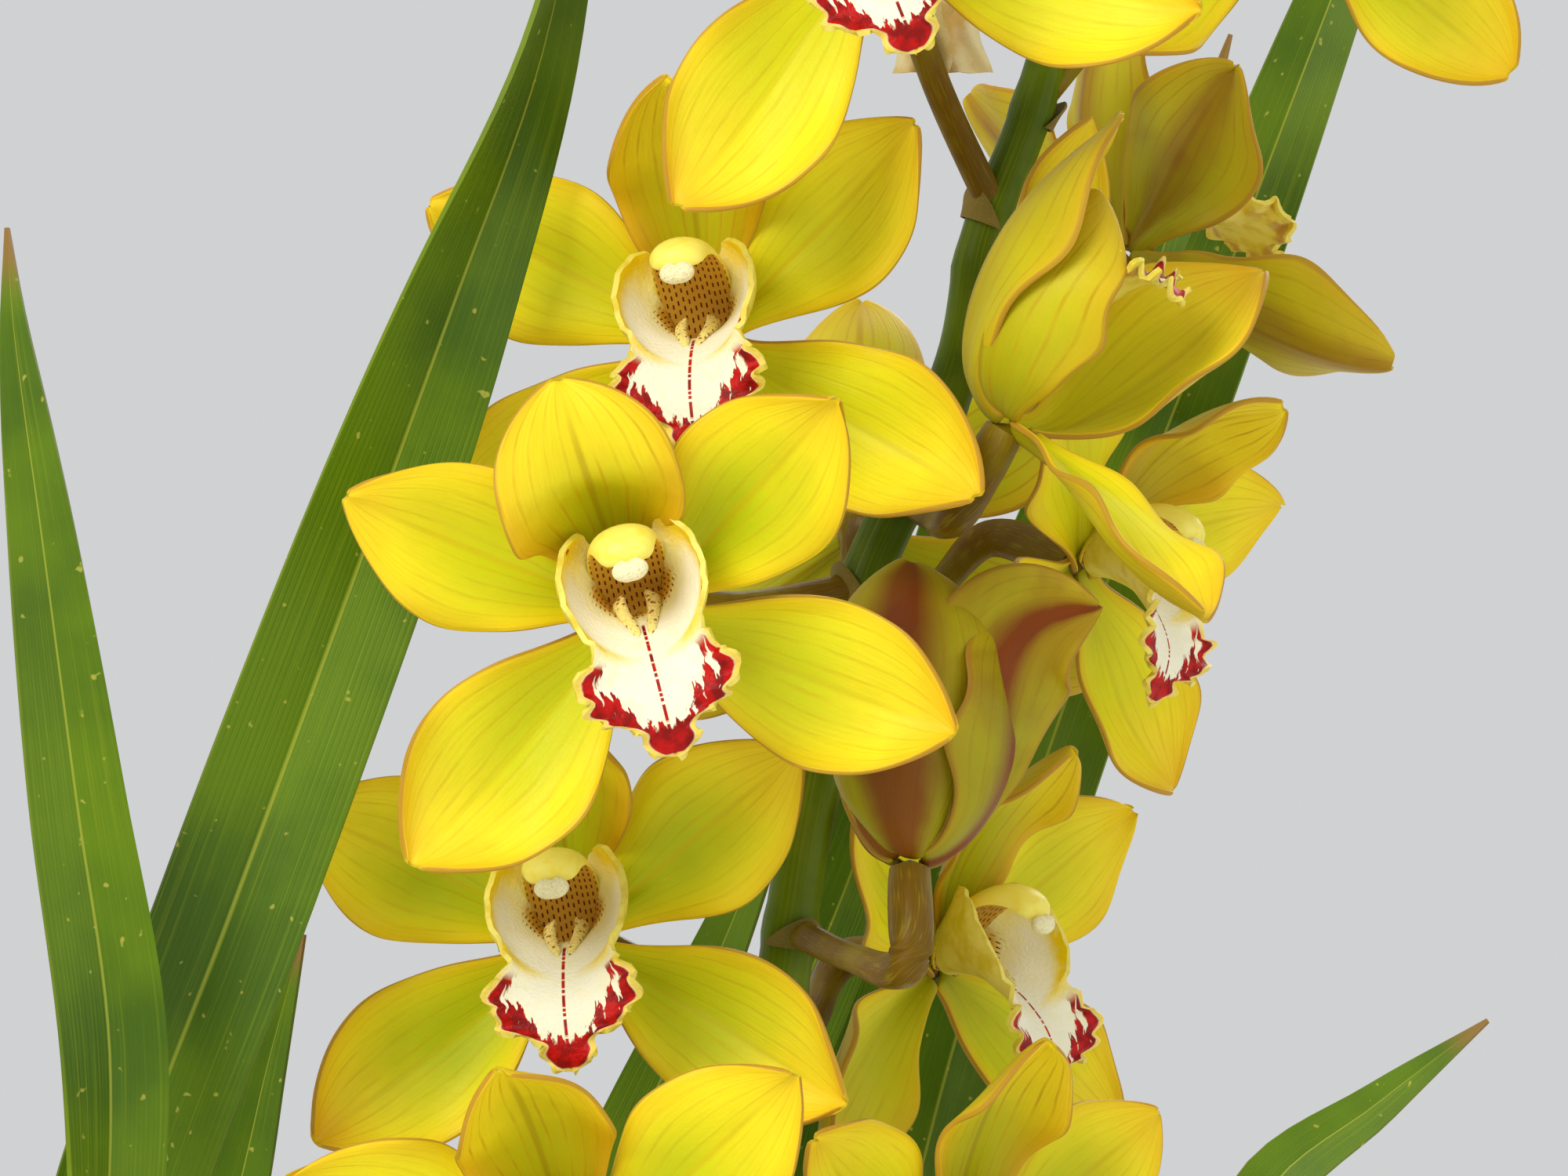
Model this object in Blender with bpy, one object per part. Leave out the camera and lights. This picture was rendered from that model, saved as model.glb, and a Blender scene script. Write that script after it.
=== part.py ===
"""Potted cymbidium orchid: a clay pot of bark, three pseudobulbs with strap leaves, and one leaning
flower spike. Metres, +Z up. The origin is the centre of the pot's underside, and the spike's best
flowers face -Y."""

import math

import bmesh
import bpy
from mathutils import Matrix, Vector

# ---- Driving dimensions -------------------------------------------------------------------------
GAP = 0.0003                    # clear space between pieces that touch on the real plant

POT_HEIGHT = 0.190
POT_FOOT_RADIUS = 0.074
POT_TOP_RADIUS = 0.098
POT_WALL = 0.006
POT_FLOOR = 0.009
RIM_DEPTH = 0.030
RIM_STEP = 0.005                # how far the rim band stands proud of the body
RIM_ROUND = 0.0015
POT_SEGMENTS = 40
DRAIN_HOLES = 5
DRAIN_RADIUS = 0.006
DRAIN_CIRCLE = 0.042

BARK_TOP = 0.168                # height of the bark's surface above the ground
BARK_DOME = 0.004               # how much higher it is in the middle

BULB_RADIUS = 0.024
BULB_HEIGHT = 0.056
BULB_CENTRES = {
    "pseudobulb_left": (-0.046, -0.018),
    "pseudobulb_middle": (-0.007, 0.024),
    "pseudobulb_right": (0.049, 0.010),
}
# A bulb's radius up its height, as a share of BULB_RADIUS.
BULB_OUTLINE = [(0.0, 0.62), (0.14, 0.88), (0.32, 1.0), (0.55, 0.95), (0.78, 0.74), (1.0, 0.46)]
BULB_FLATTEN = 0.86             # its depth as a share of its width

LEAF_THICK = 0.0014
LEAF_RINGS = 20

STEM_SIDES = 10
PEDICEL_SIDES = 6
PEDICEL_RADIUS = 0.0028
OVARY_RADIUS = 0.0036           # the pedicel swells into the ovary behind the flower

TEPAL_THICK = 0.0012
TEPAL_ROOT_THICK = 0.0026
TEPAL_RINGS = 4
TEPAL_SPANS = 4
HUB_RADIUS = 0.0068
HUB_BACK = 0.0020               # the hub's back face lies this far behind the flower's centre

LIP_LENGTH = 0.043
LIP_THICK = 0.0012
LIP_RINGS = 12
LIP_SPANS = 8

COLUMN_SIDES = 8
COLUMN_RINGS = 5

# The stem's line, from the bark to its tip.
STEM_LINE = [
    (0.0180, 0.004, 0.1725), (0.0240, 0.004, 0.240), (0.0360, 0.003, 0.340), (0.0500, 0.002, 0.440),
    (0.0625, 0.000, 0.520), (0.0680, 0.000, 0.560), (0.0730, 0.000, 0.593), (0.0775, 0.000, 0.621),
    (0.0870, 0.000, 0.661), (0.0970, 0.000, 0.683), (0.1035, 0.000, 0.700), (0.1070, 0.000, 0.719),
    (0.1150, 0.000, 0.740), (0.1215, 0.000, 0.763), (0.1285, 0.000, 0.790), (0.1370, 0.000, 0.815),
    (0.1470, 0.000, 0.838),
]
STEM_RADIUS = [(0.0, 0.0054), (0.55, 0.0046), (0.8, 0.0038), (1.0, 0.0018)]

# Each flower: its centre, where it faces (yaw to the right, pitch up, roll anticlockwise, degrees),
# the height of its node on the stem, and how open it is.
FLOWERS = {
    "flower_01": {"at": (0.0500, -0.060, 0.6560), "turn": (4, -6, 14), "node": 0.660, "habit": "open"},
    "flower_02": {"at": (0.0606, -0.0325, 0.7000), "turn": (-9, 4, 8), "node": 0.689, "habit": "open"},
    "flower_03": {"at": (0.0380, -0.020, 0.6010), "turn": (-4, 2, 7), "node": 0.590, "habit": "open"},
    "flower_04": {"at": (0.0880, -0.062, 0.7640), "turn": (-4, -4, 22), "node": 0.724, "habit": "open"},
    "flower_05": {"at": (0.1108, -0.037, 0.6877), "turn": (72, 58, 0), "node": 0.676, "habit": "closed"},
    "flower_06": {"at": (0.1250, 0.0150, 0.6635), "turn": (54, -14, -16), "node": 0.650, "habit": "open",
                  "scale": 0.92},
    "flower_07": {"at": (0.0940, -0.0345, 0.6164), "turn": (172, 74, 0), "node": 0.602, "habit": "closed",
                  "scale": 0.9},
    "flower_08": {"at": (0.1010, 0.034, 0.5930), "turn": (52, -2, 0), "node": 0.575, "habit": "open"},
    "flower_09": {"at": (0.0400, -0.050, 0.5480), "turn": (0, -4, 14), "node": 0.534, "habit": "open"},
    "flower_10": {"at": (0.1030, -0.004, 0.5410), "turn": (44, 8, 0), "node": 0.528, "habit": "open"},
    "flower_11": {"at": (0.1580, -0.012, 0.7810), "turn": (30, -6, 0), "node": 0.742, "habit": "open"},
    "flower_12": {"at": (0.1340, 0.036, 0.7190), "turn": (122, 34, 0), "node": 0.715, "habit": "open"},
    "flower_13": {"at": (0.0860, 0.046, 0.6700), "turn": (180, 5, 0), "node": 0.640, "habit": "open"},
}

# Each bud at the tip: its centre, the direction it points in, and the height of its node.
BUDS = {
    "bud_lower": {"at": (0.1040, -0.014, 0.8250), "points": (-0.62, -0.45, 0.64), "node": 0.790},
    "bud_middle": {"at": (0.1640, 0.010, 0.8420), "points": (0.75, 0.20, 0.63), "node": 0.812},
    "bud_upper": {"at": (0.1470, -0.012, 0.8640), "points": (0.20, -0.50, 0.84), "node": 0.835},
}
BUD_LENGTH = 0.030
BUD_RADIUS = 0.0075

# Tepals, clockwise from the top as the flower faces the viewer. "lean" is how far the blade leans
# out of the flower's plane towards the viewer, in degrees, at its root, middle and tip.
TEPALS = [
    {"name": "dorsal_sepal", "angle": 0, "length": 0.046, "width": 0.0280, "cup": 0.30,
     "lean": {"open": (12, 34, 80), "closed": (43, 56, 84)}},
    {"name": "petal_right", "angle": 56, "length": 0.045, "width": 0.0275, "cup": 0.22,
     "lean": {"open": (14, 10, 24), "closed": (46, 57, 74)}},
    {"name": "sepal_right", "angle": 125, "length": 0.049, "width": 0.0315, "cup": 0.42,
     "lean": {"open": (2, 8, 34), "closed": (43, 55, 74)}},
    {"name": "sepal_left", "angle": 235, "length": 0.049, "width": 0.0315, "cup": 0.42,
     "lean": {"open": (2, 8, 34), "closed": (43, 55, 74)}},
    {"name": "petal_left", "angle": 304, "length": 0.045, "width": 0.0275, "cup": 0.22,
     "lean": {"open": (14, 10, 24), "closed": (46, 57, 74)}},
]
# A tepal's width along its length, as a share of its full width.
TEPAL_OUTLINE = [(0.0, 0.26), (0.15, 0.40), (0.32, 0.68), (0.56, 1.0), (0.78, 0.90), (0.92, 0.50),
                 (1.0, 0.07)]
# Tepals that stand in a closed cup are this much narrower, so that they pass beside each other.
HABIT_WIDTH = {"open": 1.0, "closed": 0.73}

# The lip along its length: which way it heads (0 forwards, 90 down), the half width of its surface,
# measured round its curve, and how far each half curls up in all.
LIP_ROOT = Vector((0.0, -0.0045, 0.0005))
LIP_HEADING = [(0.0, -2), (0.25, 4), (0.45, 18), (0.60, 52), (0.80, 84), (1.0, 98)]
LIP_HALF_WIDTH = [(0.0, 0.0040), (0.16, 0.0140), (0.30, 0.0215), (0.42, 0.0170), (0.52, 0.0112),
                  (0.60, 0.0130), (0.70, 0.0115), (0.80, 0.0062), (0.90, 0.0054), (1.0, 0.0016)]
LIP_CURL = [(0.0, 60), (0.16, 98), (0.30, 108), (0.42, 70), (0.52, 34), (0.60, 20), (0.75, 4),
            (1.0, 10)]

# The column above the lip: places along it (forwards, up) and its radius.
COLUMN_LINE = [(-0.0048, 0.0065), (-0.0100, 0.0108), (-0.0160, 0.0126), (-0.0220, 0.0102)]
COLUMN_RADIUS = [(0.0, 0.0026), (0.4, 0.0034), (0.8, 0.0046), (1.0, 0.0030)]

# Each leaf: the bulb it grows from and the place of its foot on that bulb's top, the places its
# middle line passes above that, its width, and which way its upper side faces along its length.
LEAVES = {
    "leaf_01": {"bulb": "pseudobulb_left", "foot": (0.0066, -0.0022), "width": 0.0215,
                "line": [(-0.038, -0.056, 0.400), (-0.0342, -0.072, 0.540), (-0.0330, -0.073, 0.587),
                         (-0.0383, -0.073, 0.627), (-0.0437, -0.072, 0.667), (-0.0483, -0.071, 0.700),
                         (-0.0497, -0.070, 0.717)],
                "faces": [(0.0, (1.0, 0.0, 0.0)), (0.6, (0.9, -0.42, 0.0)), (0.8, (0.34, -0.94, 0.0)),
                          (1.0, (0.0, -1.0, 0.0))]},
    "leaf_02": {"bulb": "pseudobulb_left", "foot": (0.0010, -0.0020), "width": 0.0265,
                "line": [(-0.060, -0.038, 0.380), (-0.0490, -0.044, 0.500), (-0.0337, -0.050, 0.560),
                         (-0.0163, -0.050, 0.607), (0.0006, -0.049, 0.653), (0.0203, -0.049, 0.707),
                         (0.0333, -0.049, 0.743), (0.0430, -0.048, 0.785), (0.0580, -0.046, 0.835)],
                "faces": [(0.0, (1.0, 0.0, 0.0)), (0.5, (0.2, -0.98, 0.0)), (0.7, (0.2, -0.98, 0.0)),
                          (0.85, (0.8, -0.5, 0.0)), (1.0, (0.9, 0.3, 0.0))]},
    "leaf_03": {"bulb": "pseudobulb_left", "foot": (-0.0038, -0.0020), "width": 0.0200,
                "line": [(-0.074, -0.048, 0.360), (-0.072, -0.056, 0.480), (-0.0610, -0.056, 0.560),
                         (-0.0573, -0.055, 0.588)],
                "faces": [(0.0, (1.0, 0.0, 0.0)), (0.5, (0.4, -0.9, 0.0)), (1.0, (0.17, -0.98, 0.0))]},
    "leaf_04": {"bulb": "pseudobulb_right", "foot": (0.0040, -0.0050), "width": 0.0210,
                "line": [(0.085, -0.025, 0.360), (0.118, -0.035, 0.480), (0.1523, -0.035, 0.560),
                         (0.171, -0.034, 0.5755), (0.189, -0.033, 0.589)],
                "faces": [(0.0, (-1.0, 0.0, 0.0)), (0.5, (-0.5, -0.9, 0.2)), (1.0, (-0.2, -1.0, 0.2))]},
    "leaf_05": {"bulb": "pseudobulb_right", "foot": (0.0010, 0.0020), "width": 0.0240,
                "line": [(0.070, 0.050, 0.420), (0.100, 0.076, 0.560), (0.130, 0.084, 0.653),
                         (0.1500, 0.084, 0.705), (0.1663, 0.084, 0.748), (0.186, 0.083, 0.800),
                         (0.197, 0.082, 0.832)],
                "faces": [(0.0, (-1.0, 0.0, 0.0)), (0.5, (-0.3, -1.0, 0.0)), (1.0, (-0.1, -1.0, 0.0))]},
    "leaf_06": {"bulb": "pseudobulb_right", "foot": (-0.0045, 0.0030), "width": 0.0220,
                "line": [(0.052, 0.078, 0.420), (0.084, 0.108, 0.560), (0.118, 0.116, 0.653),
                         (0.142, 0.116, 0.715), (0.158, 0.115, 0.765)],
                "faces": [(0.0, (-1.0, 0.0, 0.0)), (0.5, (-0.3, -1.0, 0.0)), (1.0, (0.0, -1.0, 0.0))]},
    "leaf_07": {"bulb": "pseudobulb_middle", "foot": (0.0045, 0.0010), "width": 0.0230,
                "line": [(0.022, 0.078, 0.400), (0.058, 0.096, 0.540), (0.0870, 0.098, 0.610),
                         (0.100, 0.097, 0.660), (0.108, 0.096, 0.700)],
                "faces": [(0.0, (0.0, -1.0, 0.0)), (1.0, (0.1, -1.0, 0.0))]},
    "leaf_08": {"bulb": "pseudobulb_middle", "foot": (-0.0040, 0.0000), "width": 0.0200,
                "line": [(0.000, 0.062, 0.400), (0.034, 0.062, 0.530), (0.0640, 0.060, 0.600),
                         (0.078, 0.058, 0.636)],
                "faces": [(0.0, (0.0, -1.0, 0.0)), (1.0, (-0.5, -1.0, 0.0))]},
    "leaf_09": {"bulb": "pseudobulb_left", "foot": (0.0106, 0.0018), "width": 0.0190,
                "line": [(-0.032, 0.022, 0.360), (-0.032, 0.024, 0.500), (-0.0180, 0.020, 0.570),
                         (-0.010, 0.018, 0.600)],
                "faces": [(0.0, (1.0, 0.0, 0.0)), (0.5, (-0.1, -1.0, 0.0)), (1.0, (-0.2, -1.0, 0.0))]},
    "leaf_10": {"bulb": "pseudobulb_left", "foot": (-0.0098, 0.0014), "width": 0.0240,
                "line": [(-0.120, 0.010, 0.370), (-0.190, 0.030, 0.455), (-0.262, 0.048, 0.475),
                         (-0.322, 0.062, 0.440)],
                "faces": [(0.0, (1.0, 0.0, 0.0)), (0.4, (0.7, -0.4, 0.6)), (0.7, (0.0, -0.5, 1.0)),
                          (1.0, (-0.5, -0.4, 0.8))]},
    "leaf_11": {"bulb": "pseudobulb_right", "foot": (0.0085, 0.0010), "width": 0.0240,
                "line": [(0.130, 0.050, 0.370), (0.202, 0.096, 0.452), (0.268, 0.132, 0.468),
                         (0.320, 0.158, 0.432)],
                "faces": [(0.0, (-1.0, 0.0, 0.0)), (0.4, (-0.7, -0.4, 0.6)), (0.7, (0.0, -0.5, 1.0)),
                          (1.0, (0.5, 0.0, 0.8))]},
}
LEAF_OUTLINE = [(0.0, 0.46), (0.25, 0.72), (0.50, 0.95), (0.66, 1.0), (0.82, 0.78), (0.93, 0.42),
                (1.0, 0.05)]
LEAF_FOLD = [(0.0, 58), (0.25, 30), (0.6, 14), (1.0, 10)]       # each half's tilt, in degrees
LEAF_LIFT = 0.0010              # clear space between a leaf's foot and its bulb
LEAF_FOOT = 0.014               # a leaf's first stretch, straight up from its bulb

# The blank paper tag that stands on one flower's pedicel.
TAG_FLOWER = "flower_04"
TAG_SHARE = 0.30                # how far along the pedicel it is
TAG_SIZE = (0.0150, 0.0010, 0.0110)
TAG_TILT = 12                   # degrees, about the depth direction
TAG_LIFT = 0.0068               # keeps its tilted lower edge off the pedicel

COLOURS = {                     # sRGB colour, roughness
    "clay": ((0.70, 0.40, 0.27), 0.85),
    "bark": ((0.27, 0.17, 0.10), 0.95),
    "pseudobulb": ((0.42, 0.52, 0.20), 0.55),
    "leaf": ((0.24, 0.42, 0.07), 0.40),
    "stem": ((0.34, 0.36, 0.10), 0.40),
    "tepal": ((0.86, 0.80, 0.13), 0.50),
    "lip": ((0.96, 0.90, 0.62), 0.50),
    "column": ((0.97, 0.92, 0.42), 0.45),
    "bud": ((0.62, 0.58, 0.16), 0.50),
    "paper": ((0.93, 0.90, 0.80), 0.90),
}


# ---- Helpers ------------------------------------------------------------------------------------
def curve_through(keys, t):
    """A smooth value at t through (place, value) keys; the values are numbers or Vectors."""
    last = len(keys) - 1
    i = min(max(sum(1 for place, _ in keys if place <= t) - 1, 0), last - 1)
    (t0, v0), (t1, v1) = keys[i], keys[i + 1]

    def slope(j):
        low, high = max(j - 1, 0), min(j + 1, last)
        return (keys[high][1] - keys[low][1]) / (keys[high][0] - keys[low][0])

    span = t1 - t0
    x = min(max((t - t0) / span, 0.0), 1.0)
    a = v0 * (1 + 2 * x) * (1 - x) ** 2
    b = v1 * x * x * (3 - 2 * x)
    return a + b + slope(i) * span * x * (1 - x) ** 2 + slope(i + 1) * span * x * x * (x - 1)


def line_keys(points):
    """Keys for curve_through, placed by the distance along the points."""
    points = [Vector(p) for p in points]
    run = [0.0]
    for a, b in zip(points, points[1:]):
        run.append(run[-1] + (b - a).length)
    return [(r / run[-1], p) for r, p in zip(run, points)]


def tangent(keys, t, step=0.01):
    return (curve_through(keys, min(t + step, 1.0)) - curve_through(keys, max(t - step, 0.0))).normalized()


def clear_scene():
    for obj in list(bpy.data.objects):
        bpy.data.objects.remove(obj, do_unlink=True)


def linear(value):
    return value / 12.92 if value <= 0.04045 else ((value + 0.055) / 1.055) ** 2.4


def finish(name):
    """The material of this name, made the first time it is asked for."""
    if name in bpy.data.materials:
        return bpy.data.materials[name]
    colour, roughness = COLOURS[name]
    made = bpy.data.materials.new(name)
    made.use_nodes = True
    shader = made.node_tree.nodes["Principled BSDF"]
    shader.inputs["Base Color"].default_value = [*map(linear, colour), 1.0]
    shader.inputs["Roughness"].default_value = roughness
    return made


def mesh_of(name, bm):
    """A mesh from bm, with its faces pointing out and its curved faces shaded smooth."""
    bmesh.ops.remove_doubles(bm, verts=bm.verts, dist=1e-6)
    bmesh.ops.recalc_face_normals(bm, faces=bm.faces)
    if bm.calc_volume(signed=True) < 0:
        bmesh.ops.reverse_faces(bm, faces=bm.faces)
    mesh = bpy.data.meshes.new(name)
    bm.to_mesh(mesh)
    bm.free()
    mesh.shade_smooth()
    mesh.set_sharp_from_angle(angle=math.radians(40))
    return mesh


def add_object(name, mesh, material, matrix=None):
    obj = bpy.data.objects.new(name, mesh)
    bpy.context.scene.collection.objects.link(obj)
    if not mesh.materials:
        mesh.materials.append(finish(material))
    obj.matrix_world = matrix or Matrix.Identity(4)
    return obj


def bridge_rings(bm, rings, closed_start=True, closed_end=True):
    """Skins closed rings of points, each with the same count, into one closed body."""
    made = [[bm.verts.new(p) for p in ring] for ring in rings]
    count = len(made[0])
    for low, high in zip(made, made[1:]):
        for k in range(count):
            n = (k + 1) % count
            bm.faces.new((low[k], low[n], high[n], high[k]))
    if closed_start:
        bm.faces.new(made[0][::-1])
    if closed_end:
        bm.faces.new(made[-1])
    return made


def tube(bm, keys, radius, sides, rings, flatten=1.0):
    """A closed tube along a line, with its radius given by a function of the place along it."""
    side = None
    loops = []
    for i in range(rings):
        t = i / (rings - 1)
        centre, along = curve_through(keys, t), tangent(keys, t)
        side = (side or Vector((0.31, 1.0, 0.17))) - along * (side or Vector((0.31, 1.0, 0.17))).dot(along)
        side.normalize()
        other = along.cross(side)
        r = radius(t)
        loops.append([
            centre + side * (r * flatten * math.cos(math.tau * k / sides))
            + other * (r * math.sin(math.tau * k / sides))
            for k in range(sides)
        ])
    bridge_rings(bm, loops)


def turned(bm, profile, segments):
    """Spins a closed (radius, height) outline about Z into one body."""
    verts = [bm.verts.new((r, 0.0, z)) for r, z in profile]
    edges = [bm.edges.new((a, b)) for a, b in zip(verts, verts[1:] + verts[:1])
             if a.co.x > 0 or b.co.x > 0]
    bmesh.ops.spin(bm, geom=verts + edges, cent=(0, 0, 0), axis=(0, 0, 1), angle=math.tau,
                   steps=segments, use_merge=True, use_duplicate=False)
    bmesh.ops.remove_doubles(bm, verts=bm.verts, dist=1e-6)


# ---- Pot and bark -------------------------------------------------------------------------------
def pot_radius(z):
    """The body's outer radius at a height, below the rim band."""
    return POT_FOOT_RADIUS + (POT_TOP_RADIUS - POT_FOOT_RADIUS) * z / POT_HEIGHT


def make_pot():
    under_rim = POT_HEIGHT - RIM_DEPTH
    rim = POT_TOP_RADIUS + RIM_STEP
    inner_foot = pot_radius(POT_FLOOR) - POT_WALL
    outline = [
        (0.0, 0.0), (POT_FOOT_RADIUS - RIM_ROUND, 0.0), (POT_FOOT_RADIUS, RIM_ROUND),
        (pot_radius(under_rim), under_rim), (rim - RIM_ROUND, under_rim),
        (rim, under_rim + RIM_ROUND), (rim + RIM_ROUND, POT_HEIGHT - 2 * RIM_ROUND),
        (rim - RIM_ROUND, POT_HEIGHT), (POT_TOP_RADIUS - POT_WALL + RIM_ROUND, POT_HEIGHT),
        (POT_TOP_RADIUS - POT_WALL, POT_HEIGHT - RIM_ROUND), (inner_foot, POT_FLOOR), (0.0, POT_FLOOR),
    ]
    bm = bmesh.new()
    turned(bm, outline, POT_SEGMENTS)
    pot = add_object("pot", mesh_of("pot", bm), "clay")
    drill = bmesh.new()
    for i in range(DRAIN_HOLES):
        turn = math.tau * (i + 0.5) / DRAIN_HOLES
        place = Matrix.Translation((DRAIN_CIRCLE * math.cos(turn), DRAIN_CIRCLE * math.sin(turn), 0.004))
        bmesh.ops.create_cone(drill, cap_ends=True, segments=10, radius1=DRAIN_RADIUS,
                              radius2=DRAIN_RADIUS, depth=0.03, matrix=place)
    cutter = add_object("drain_drill", mesh_of("drain_drill", drill), "clay")
    cutter.hide_render = True
    cutter.display_type = "WIRE"
    cut = pot.modifiers.new("drain holes", "BOOLEAN")
    cut.operation = "DIFFERENCE"
    cut.object = cutter


def bark_height(x, y):
    return BARK_TOP + BARK_DOME * (1 - (x * x + y * y) / POT_TOP_RADIUS ** 2)


def make_bark():
    def inside(z):
        """The pot's inner radius at a height, less the gap."""
        floor_r, top_r = pot_radius(POT_FLOOR) - POT_WALL, POT_TOP_RADIUS - POT_WALL
        share = (z - POT_FLOOR) / (POT_HEIGHT - RIM_ROUND - POT_FLOOR)
        return floor_r + (top_r - floor_r) * share - 2 * GAP

    bottom = POT_FLOOR + GAP
    edge = inside(BARK_TOP)
    outline = [(0.0, bottom), (inside(bottom), bottom), (edge, BARK_TOP)]
    outline += [(r, bark_height(r, 0) - GAP) for r in (0.7 * edge, 0.4 * edge, 0.0)]
    bm = bmesh.new()
    turned(bm, outline, POT_SEGMENTS)
    add_object("bark_medium", mesh_of("bark_medium", bm), "bark")


def bulb_top():
    return BARK_TOP + BARK_DOME + GAP + BULB_HEIGHT


def make_bulbs():
    """Egg-shaped pseudobulbs with a flat foot that stands on the bark."""
    for name, (x, y) in BULB_CENTRES.items():
        rings = []
        for share, wide in BULB_OUTLINE:
            height = bulb_top() - BULB_HEIGHT * (1 - share)
            turns = [math.tau * k / 12 for k in range(12)]
            rings.append([
                Vector((x + BULB_RADIUS * wide * math.cos(turn),
                        y + BULB_RADIUS * BULB_FLATTEN * wide * math.sin(turn), height))
                for turn in turns
            ])
        bm = bmesh.new()
        bridge_rings(bm, rings)
        add_object(name, mesh_of(name, bm), "pseudobulb")


# ---- Leaves -------------------------------------------------------------------------------------
def leaf_keys(leaf):
    """The leaf's middle line, from its foot on the bulb."""
    x, y = (centre + shift for centre, shift in zip(BULB_CENTRES[leaf["bulb"]], leaf["foot"]))
    return line_keys([(x, y, bulb_top() + LEAF_LIFT), (x, y, bulb_top() + LEAF_FOOT), *leaf["line"]])


def leaf_frame(keys, faces, t):
    """The leaf's middle, its sideways direction and the way its upper side faces."""
    along = tangent(keys, t)
    towards = curve_through(faces, t)
    face = (towards - along * towards.dot(along)).normalized()
    return curve_through(keys, t), face.cross(along), face


def make_leaf(name, leaf):
    keys = leaf_keys(leaf)
    faces = [(place, Vector(way)) for place, way in leaf["faces"]]
    rings = []
    for i in range(LEAF_RINGS):
        t = i / (LEAF_RINGS - 1)
        middle, side, face = leaf_frame(keys, faces, t)
        half = leaf["width"] / 2 * curve_through(LEAF_OUTLINE, t)
        fold = math.radians(curve_through(LEAF_FOLD, t))
        across, rise = side * (half * math.cos(fold)), face * (half * math.sin(fold))
        thick = face * (LEAF_THICK / 2)
        upper = [middle - across + rise + thick, middle + thick * 1.4, middle + across + rise + thick]
        lower = [middle + across + rise - thick, middle - thick * 1.4, middle - across + rise - thick]
        rings.append(upper + lower)
    bm = bmesh.new()
    bridge_rings(bm, rings)
    add_object(name, mesh_of(name, bm), "leaf")


# ---- Flowers ------------------------------------------------------------------------------------
def flower_matrix(flower):
    """Places a flower that is modelled facing -Y with its dorsal sepal up."""
    yaw, pitch, roll = (math.radians(a) for a in flower["turn"])
    turn = Matrix.Rotation(yaw, 4, "Z") @ Matrix.Rotation(-pitch, 4, "X") @ Matrix.Rotation(-roll, 4, "Y")
    return Matrix.Translation(flower["at"]) @ turn @ Matrix.Scale(flower.get("scale", 1.0), 4)


def tepal_point(tepal, habit, t, s):
    """A place on the tepal's front, t along it and s across it (-1 to 1), and its facing there."""
    angle = math.radians(tepal["angle"])
    outwards, forwards = Vector((math.sin(angle), 0, math.cos(angle))), Vector((0, -1, 0))
    leans = tepal["lean"][habit]
    lean_keys = [(0.0, leans[0]), (0.55, leans[1]), (1.0, leans[2])]
    steps = 12
    middle = outwards * HUB_RADIUS * math.cos(math.pi / 5)
    for i in range(steps):
        lean = math.radians(curve_through(lean_keys, t * (i + 0.5) / steps))
        middle += (outwards * math.cos(lean) + forwards * math.sin(lean)) * (tepal["length"] * t / steps)
    lean = math.radians(curve_through(lean_keys, t))
    along = outwards * math.cos(lean) + forwards * math.sin(lean)
    face = forwards * math.cos(lean) - outwards * math.sin(lean)
    side = Vector((math.cos(angle), 0, -math.sin(angle)))
    half = tepal["width"] / 2 * HABIT_WIDTH[habit] * curve_through(TEPAL_OUTLINE, t)
    bow = tepal["cup"] * min(t / 0.3, 1.0)
    return middle + side * (s * half * (1 - 0.12 * s * s * bow)) + face * (bow * half * s * s), face


def make_perianth_mesh(habit):
    """The five tepals, which grow out of one ring behind the column, as one body."""
    bm = bmesh.new()
    front_loop, back_loop = [], []
    corners = [(TEPALS[i]["angle"] + TEPALS[(i + 1) % 5]["angle"] + (360 if i == 4 else 0)) / 2
               for i in range(5)]
    for i, tepal in enumerate(TEPALS):
        start, end = math.radians(corners[i - 1] - (360 if i == 0 else 0)), math.radians(corners[i])
        ends = [Vector((HUB_RADIUS * math.sin(a), 0, HUB_RADIUS * math.cos(a))) for a in (start, end)]
        spans = [k / TEPAL_SPANS for k in range(TEPAL_SPANS + 1)]
        root = [ends[0].lerp(ends[1], k) for k in spans]
        rows_front = [[bm.verts.new(p) for p in root]]
        rows_back = [[bm.verts.new(p + Vector((0, HUB_BACK, 0))) for p in root]]
        for j in range(1, TEPAL_RINGS + 1):
            t = j / TEPAL_RINGS
            thick = TEPAL_ROOT_THICK + (TEPAL_THICK - TEPAL_ROOT_THICK) * min(t / 0.5, 1.0)
            front, back = [], []
            for k in spans:
                point, face = tepal_point(tepal, habit, t, 2 * k - 1)
                front.append(bm.verts.new(point))
                back.append(bm.verts.new(point - face * thick))
            rows_front.append(front)
            rows_back.append(back)
        for a in range(TEPAL_RINGS):
            for rows in (rows_front, rows_back):
                near, far = rows[a], rows[a + 1]
                for k in range(TEPAL_SPANS):
                    bm.faces.new((near[k], near[k + 1], far[k + 1], far[k]))
            for k in (0, TEPAL_SPANS):
                bm.faces.new((rows_front[a][k], rows_back[a][k], rows_back[a + 1][k], rows_front[a + 1][k]))
        tip_front, tip_back = rows_front[-1], rows_back[-1]
        for k in range(TEPAL_SPANS):
            bm.faces.new((tip_front[k], tip_front[k + 1], tip_back[k + 1], tip_back[k]))
        front_loop += rows_front[0][:-1]
        back_loop += rows_back[0][:-1]
    bm.faces.new(front_loop)
    bm.faces.new(back_loop[::-1])
    return mesh_of("perianth_" + habit, bm)


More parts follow.
